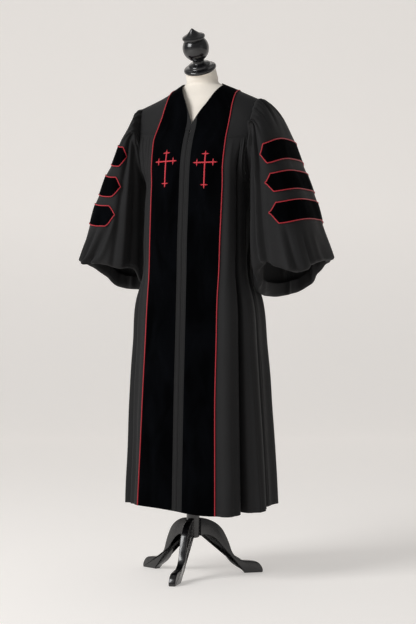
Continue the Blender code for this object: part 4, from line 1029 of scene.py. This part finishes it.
class GOWN_OT_bars(bpy.types.Operator):
    """Sew three piped velvet bars on each sleeve"""

    bl_idname = "gown.bars"
    bl_label = "Sleeve bars"

    def execute(self, context):
        thick = context.scene.gown_sizes.velvet
        for word, _ in SIDES:
            for number, (top, bottom) in enumerate(BAR_RINGS, 1):
                bed, outs = bar_bed(word, top, bottom)
                puff = BAR_PUFF * (1 - np.linspace(-1, 1, len(bed))[:, None] ** 4)
                outer = bed + outs * (BAR_LIFT + thick + puff)[..., None]
                which = f"{number}_{word}"
                bar = shell(f"velvet_bar_{which}", outer, outs, thick + puff, black_velvet(), f"bar_{which}")
                middle = bed[len(bed) // 2]
                edge, edge_outs = (np.concatenate([grid[0], grid[-1, ::-1]]) for grid in (bed, outs))
                piping(f"red_bar_piping_{which}", edge, np.concatenate([middle, middle[::-1]]), edge_outs,
                       f"bar_piping_{which}", tuck=0.35, lift=BAR_LIFT, looped=True, sides=8)
        return {"FINISHED"}


class GOWN_OT_crosses(bpy.types.Operator):
    """Embroider a cross with small barred ends on each side of the velvet"""

    bl_idname = "gown.crosses"
    bl_label = "Crosses"

    def execute(self, context):
        sizes, around = context.scene.gown_sizes, np.linspace(-1, 1, 9)
        for word, side in SIDES:
            parts = []
            for start, stop, wide, height in CROSS_STROKES:
                start, stop = np.array(start), np.array(stop)
                long, along = np.linalg.norm(stop - start), unit(stop - start)
                bends = 0, CROSS_TAPER, long - CROSS_TAPER, long
                places = stretches(bends, (7, 26, 7))
                tapered = np.clip(np.minimum(places, long - places) / CROSS_TAPER, 0.06, 1)
                off = around[:, None] * sizes.cross_line * wide / 2 * tapered
                flat = start + places[:, None] * along + off[..., None] * np.array([along[1], -along[0]])
                dome = height * np.sqrt(1 - around**2)[:, None] * (0.35 + 0.65 * tapered)
                centre = side * sizes.cross_x, sizes.cross_z - side * CROSS_STEP
                face, outs = chest(centre[0] + flat[..., 0], centre[1] + flat[..., 1])
                under = (face - outs * 0.0003)[[-1, 0]]
                rings = np.concatenate([face + outs * (dome + 0.0001)[..., None], under]).swapaxes(0, 1)
                v = np.concatenate([off, np.zeros((2, len(places)))])
                uvs = np.stack([np.broadcast_to(places, v.shape), v], -1).swapaxes(0, 1)
                parts.append((rings.reshape(-1, 3), tube_faces(*rings.shape[:2]), uvs.reshape(-1, 2)))
            add_mesh(f"embroidered_cross_{word}", *together(parts), red_satin("Red embroidery"), angle=80)
        return {"FINISHED"}


class GOWN_OT_stitching(bpy.types.Operator):
    """Topstitch the closed front and the yoke seams"""

    bl_idname = "gown.stitching"
    bl_label = "Stitching"

    def execute(self, context):
        lines = []
        for side in (1, -1):
            rows = [row for row in SKIRT_ROWS if 1.02 < row < 1.999]
            grid = front_grid(side, (0.024, 0.026, 0.028, 0.074, 0.076, 0.078), rows)
            outs = normals_of(grid, side)
            lines += [(grid[:, i] + outs[:, i] * 0.0002, outs[:, i]) for i in (1, 4)]
            grid = front_grid(side, between(0.53, 0.995, 60), (0.95, 0.965, 0.98))
            outs = normals_of(grid, side)
            lines.append((grid[1] + outs[1] * SEAM_STITCH_LIFT, outs[1]))
        stitches("stitching_front", lines)
        grid = back_yoke_grid(between(-0.985, 0.985, 120), (1.95, 1.96, 1.97))
        outs = normals_of(grid, -1)
        stitches("stitching_back", [(grid[1] + outs[1] * SEAM_STITCH_LIFT, outs[1])])
        return {"FINISHED"}


class GOWN_OT_cap(bpy.types.Operator):
    """Turn the neck cap and the finial"""

    bl_idname = "gown.cap"
    bl_label = "Cap and finial"

    def execute(self, context):
        up = Matrix.Translation((0, NECK_TOP_Y, NECK_TOP_Z + LIFT)) @ Matrix.Rotation(NECK_TILT, 4, "X")
        turned("turned_cap", CAP_PROFILE, 72, up, lacquer(), "neck_cap")
        turns = np.radians(between(*BALL_TURNS, 30))
        ball = [(BALL_RADIUS * math.sin(t), BALL_HEIGHT - BALL_RADIUS * math.cos(t)) for t in turns]
        radius, height = CAP_PROFILE[-1]
        profile = [(radius, height + SEAM), (radius, ball[0][1] - 0.003), *ball, *TIP_PROFILE]
        turned("turned_finial", profile, 72, up, lacquer(), "finial")
        return {"FINISHED"}


class GOWN_OT_stand(bpy.types.Operator):
    """Build the pole, the turned hub and the three shaped legs"""

    bl_idname = "gown.stand"
    bl_label = "Tripod stand"

    def execute(self, context):
        foot = Matrix.Translation((STAND_X, STAND_Y, 0))
        turned("turned_hub", HUB_PROFILE, 64, foot, lacquer(), "hub")
        low, high = HUB_PROFILE[-1][1] + SEAM, FORM[0][0] - SEAM
        heights = [low + 0.0006, *between(low + 0.002, high - 0.002, 12), high]
        profile = [(POLE_RADIUS - 0.0006, low)] + [(POLE_RADIUS, z) for z in heights]
        turned("steel_pole", profile, 48, foot, brushed_steel(), "pole")
        outline = self.outline()
        half = context.scene.gown_sizes.leg / 2
        ways = unit(np.roll(outline, -1, 0) - outline) + unit(outline - np.roll(outline, 1, 0))
        inward = unit(np.stack([ways[:, 1], -ways[:, 0]], -1))
        sections = [(LEG_ROUND * (1 - math.cos(t)) - half, LEG_ROUND * (1 - math.sin(t)))
                    for t in between(0, math.pi / 2, 5)]
        sections += [(-off, inset) for off, inset in sections[::-1]]
        for number, word in enumerate(("front", "left", "right")):
            turn = foot @ Matrix.Rotation(LEG_TURN + number * 2 * math.pi / 3, 4, "Z")
            uvs = [(off, *place) for off, inset in sections for place in outline + inward * inset]
            points = [turn @ Vector((off, -reach, max(height, 0))) for off, reach, height in uvs]
            faces = tube_faces(len(sections), len(outline))
            add_mesh(f"stand_leg_{word}", points, faces, np.array(uvs)[:, 1:], lacquer(), f"leg_{word}", angle=35)
        return {"FINISHED"}

    def outline(self, parts=5):
        """The leg's outline on smooth curves between its sharp corners."""
        table, made, count = np.array(LEG_OUTLINE), [], len(LEG_OUTLINE)
        for i, a in enumerate(table):
            end = (i + 1) % count
            before, b, after = table[i - 1], table[end], table[(i + 2) % count]
            leave = b - (a if i in LEG_CORNERS else before)
            arrive = (b if end in LEG_CORNERS else after) - a
            straight = i in LEG_CORNERS and end in LEG_CORNERS
            made += [curve(a, b, leave / 2, arrive / 2, f) for f in ([0] if straight else np.arange(parts) / parts)]
        return np.array(made)


class GOWN_OT_stage(bpy.types.Operator):
    """Set the pale floor and backdrop, the soft lights and the camera"""

    bl_idname = "gown.stage"
    bl_label = "Stage"

    def execute(self, context):
        scene, stage = context.scene, context.scene.gown_stage
        turn = Matrix.Rotation(stage.azimuth, 4, "Z")

        def place(thing, data):
            made = bpy.data.objects.new(thing, data)
            scene.collection.objects.link(made)
            return made

        bend = [(WALL_Y + WALL_BEND * math.sin(t), WALL_BEND * (1 - math.cos(t)))
                for t in between(0, math.pi / 2, 25)]
        profile = [(-FLOOR_REACH, 0), *bend, (WALL_Y + WALL_BEND, WALL_TALL)]
        points = [turn @ Vector((x, y, z)) for y, z in profile for x in (-FLOOR_REACH, FLOOR_REACH)]
        mesh = bpy.data.meshes.new("backdrop")
        mesh.from_pydata(points, [], [(2 * i, 2 * i + 1, 2 * i + 3, 2 * i + 2) for i in range(len(profile) - 1)])
        mesh.shade_smooth()
        mesh.materials.append(pale_floor())
        place("backdrop", mesh)
        world = scene.world = bpy.data.worlds.new("Studio")
        world.use_nodes = True
        tree, background = world.node_tree, world.node_tree.nodes["Background"]
        background.inputs["Color"].default_value = (1, 0.985, 0.97, 1)
        seen = node(tree, "LightPath").outputs["Is Camera Ray"]
        tree.links.new(spread(tree, seen, stage.around, stage.distant), background.inputs["Strength"])
        for name, power, size, at in (("key", stage.key, (2.4, 2.6), (-3.7, -2.5, 3.3)),
                                      ("fill", stage.fill, (2, 2.6), (3.6, -3, 1.8)),
                                      ("top", stage.fill * 0.8, (3, 1.5), (0, 0.6, 4.2))):
            light = bpy.data.lights.new(name, "AREA")
            light.shape, light.energy = "RECTANGLE", power
            light.size, light.size_y = size
            lamp = place(name, light)
            lamp.location = turn @ Vector(at)
            lamp.rotation_euler = (Vector(LIT_POINT) - lamp.location).to_track_quat("-Z", "Y").to_euler()
        camera = scene.camera = place("camera", bpy.data.cameras.new("camera"))
        camera.data.sensor_width, camera.data.lens = SENSOR, stage.lens
        camera.data.dof.use_dof = False
        shift = CENTRE_SHIFT / (stage.lens * PHOTO_TALL / SENSOR) * stage.distance
        camera.location = Vector(ORIGIN) + turn @ Vector((shift, -stage.distance, stage.height))
        camera.rotation_euler = (math.pi / 2, 0, stage.azimuth)
        scene.view_settings.view_transform = "Standard"
        return {"FINISHED"}


class GOWN_PT_panel(bpy.types.Panel):
    """The gown's pieces, colours and sizes"""

    bl_idname = "GOWN_PT_panel"
    bl_label = "Doctoral Gown"
    bl_space_type = "VIEW_3D"
    bl_region_type = "UI"
    bl_category = "Gown"

    def draw(self, context):
        for name, kind in GROUPS.items():
            box = self.layout.box()
            for prop in kind.__annotations__:
                box.prop(getattr(context.scene, name), prop)
        for operator in OPERATORS:
            self.layout.operator(operator.bl_idname)


OPERATORS = (GOWN_OT_form, GOWN_OT_body, GOWN_OT_sleeves, GOWN_OT_facings, GOWN_OT_bars, GOWN_OT_crosses,
             GOWN_OT_stitching, GOWN_OT_cap, GOWN_OT_stand, GOWN_OT_stage)
GROUPS = {"gown_finishes": GownFinishes, "gown_sizes": GownSizes, "gown_stage": GownStage}
CLASSES = (*GROUPS.values(), *OPERATORS, GOWN_PT_panel)


def register():
    for kind in CLASSES:
        bpy.utils.register_class(kind)
    for name, group in GROUPS.items():
        setattr(bpy.types.Scene, name, bpy.props.PointerProperty(type=group))


def unregister():
    for name in GROUPS:
        delattr(bpy.types.Scene, name)
    for kind in reversed(CLASSES):
        bpy.utils.unregister_class(kind)


def main():
    """Builds every piece and the stage."""
    register()
    bpy.ops.gown.form()
    bpy.ops.gown.body()
    bpy.ops.gown.sleeves()
    bpy.ops.gown.facings()
    bpy.ops.gown.bars()
    bpy.ops.gown.crosses()
    bpy.ops.gown.stitching()
    bpy.ops.gown.cap()
    bpy.ops.gown.stand()
    bpy.ops.gown.stage()


if __name__ == "__main__":
    main()
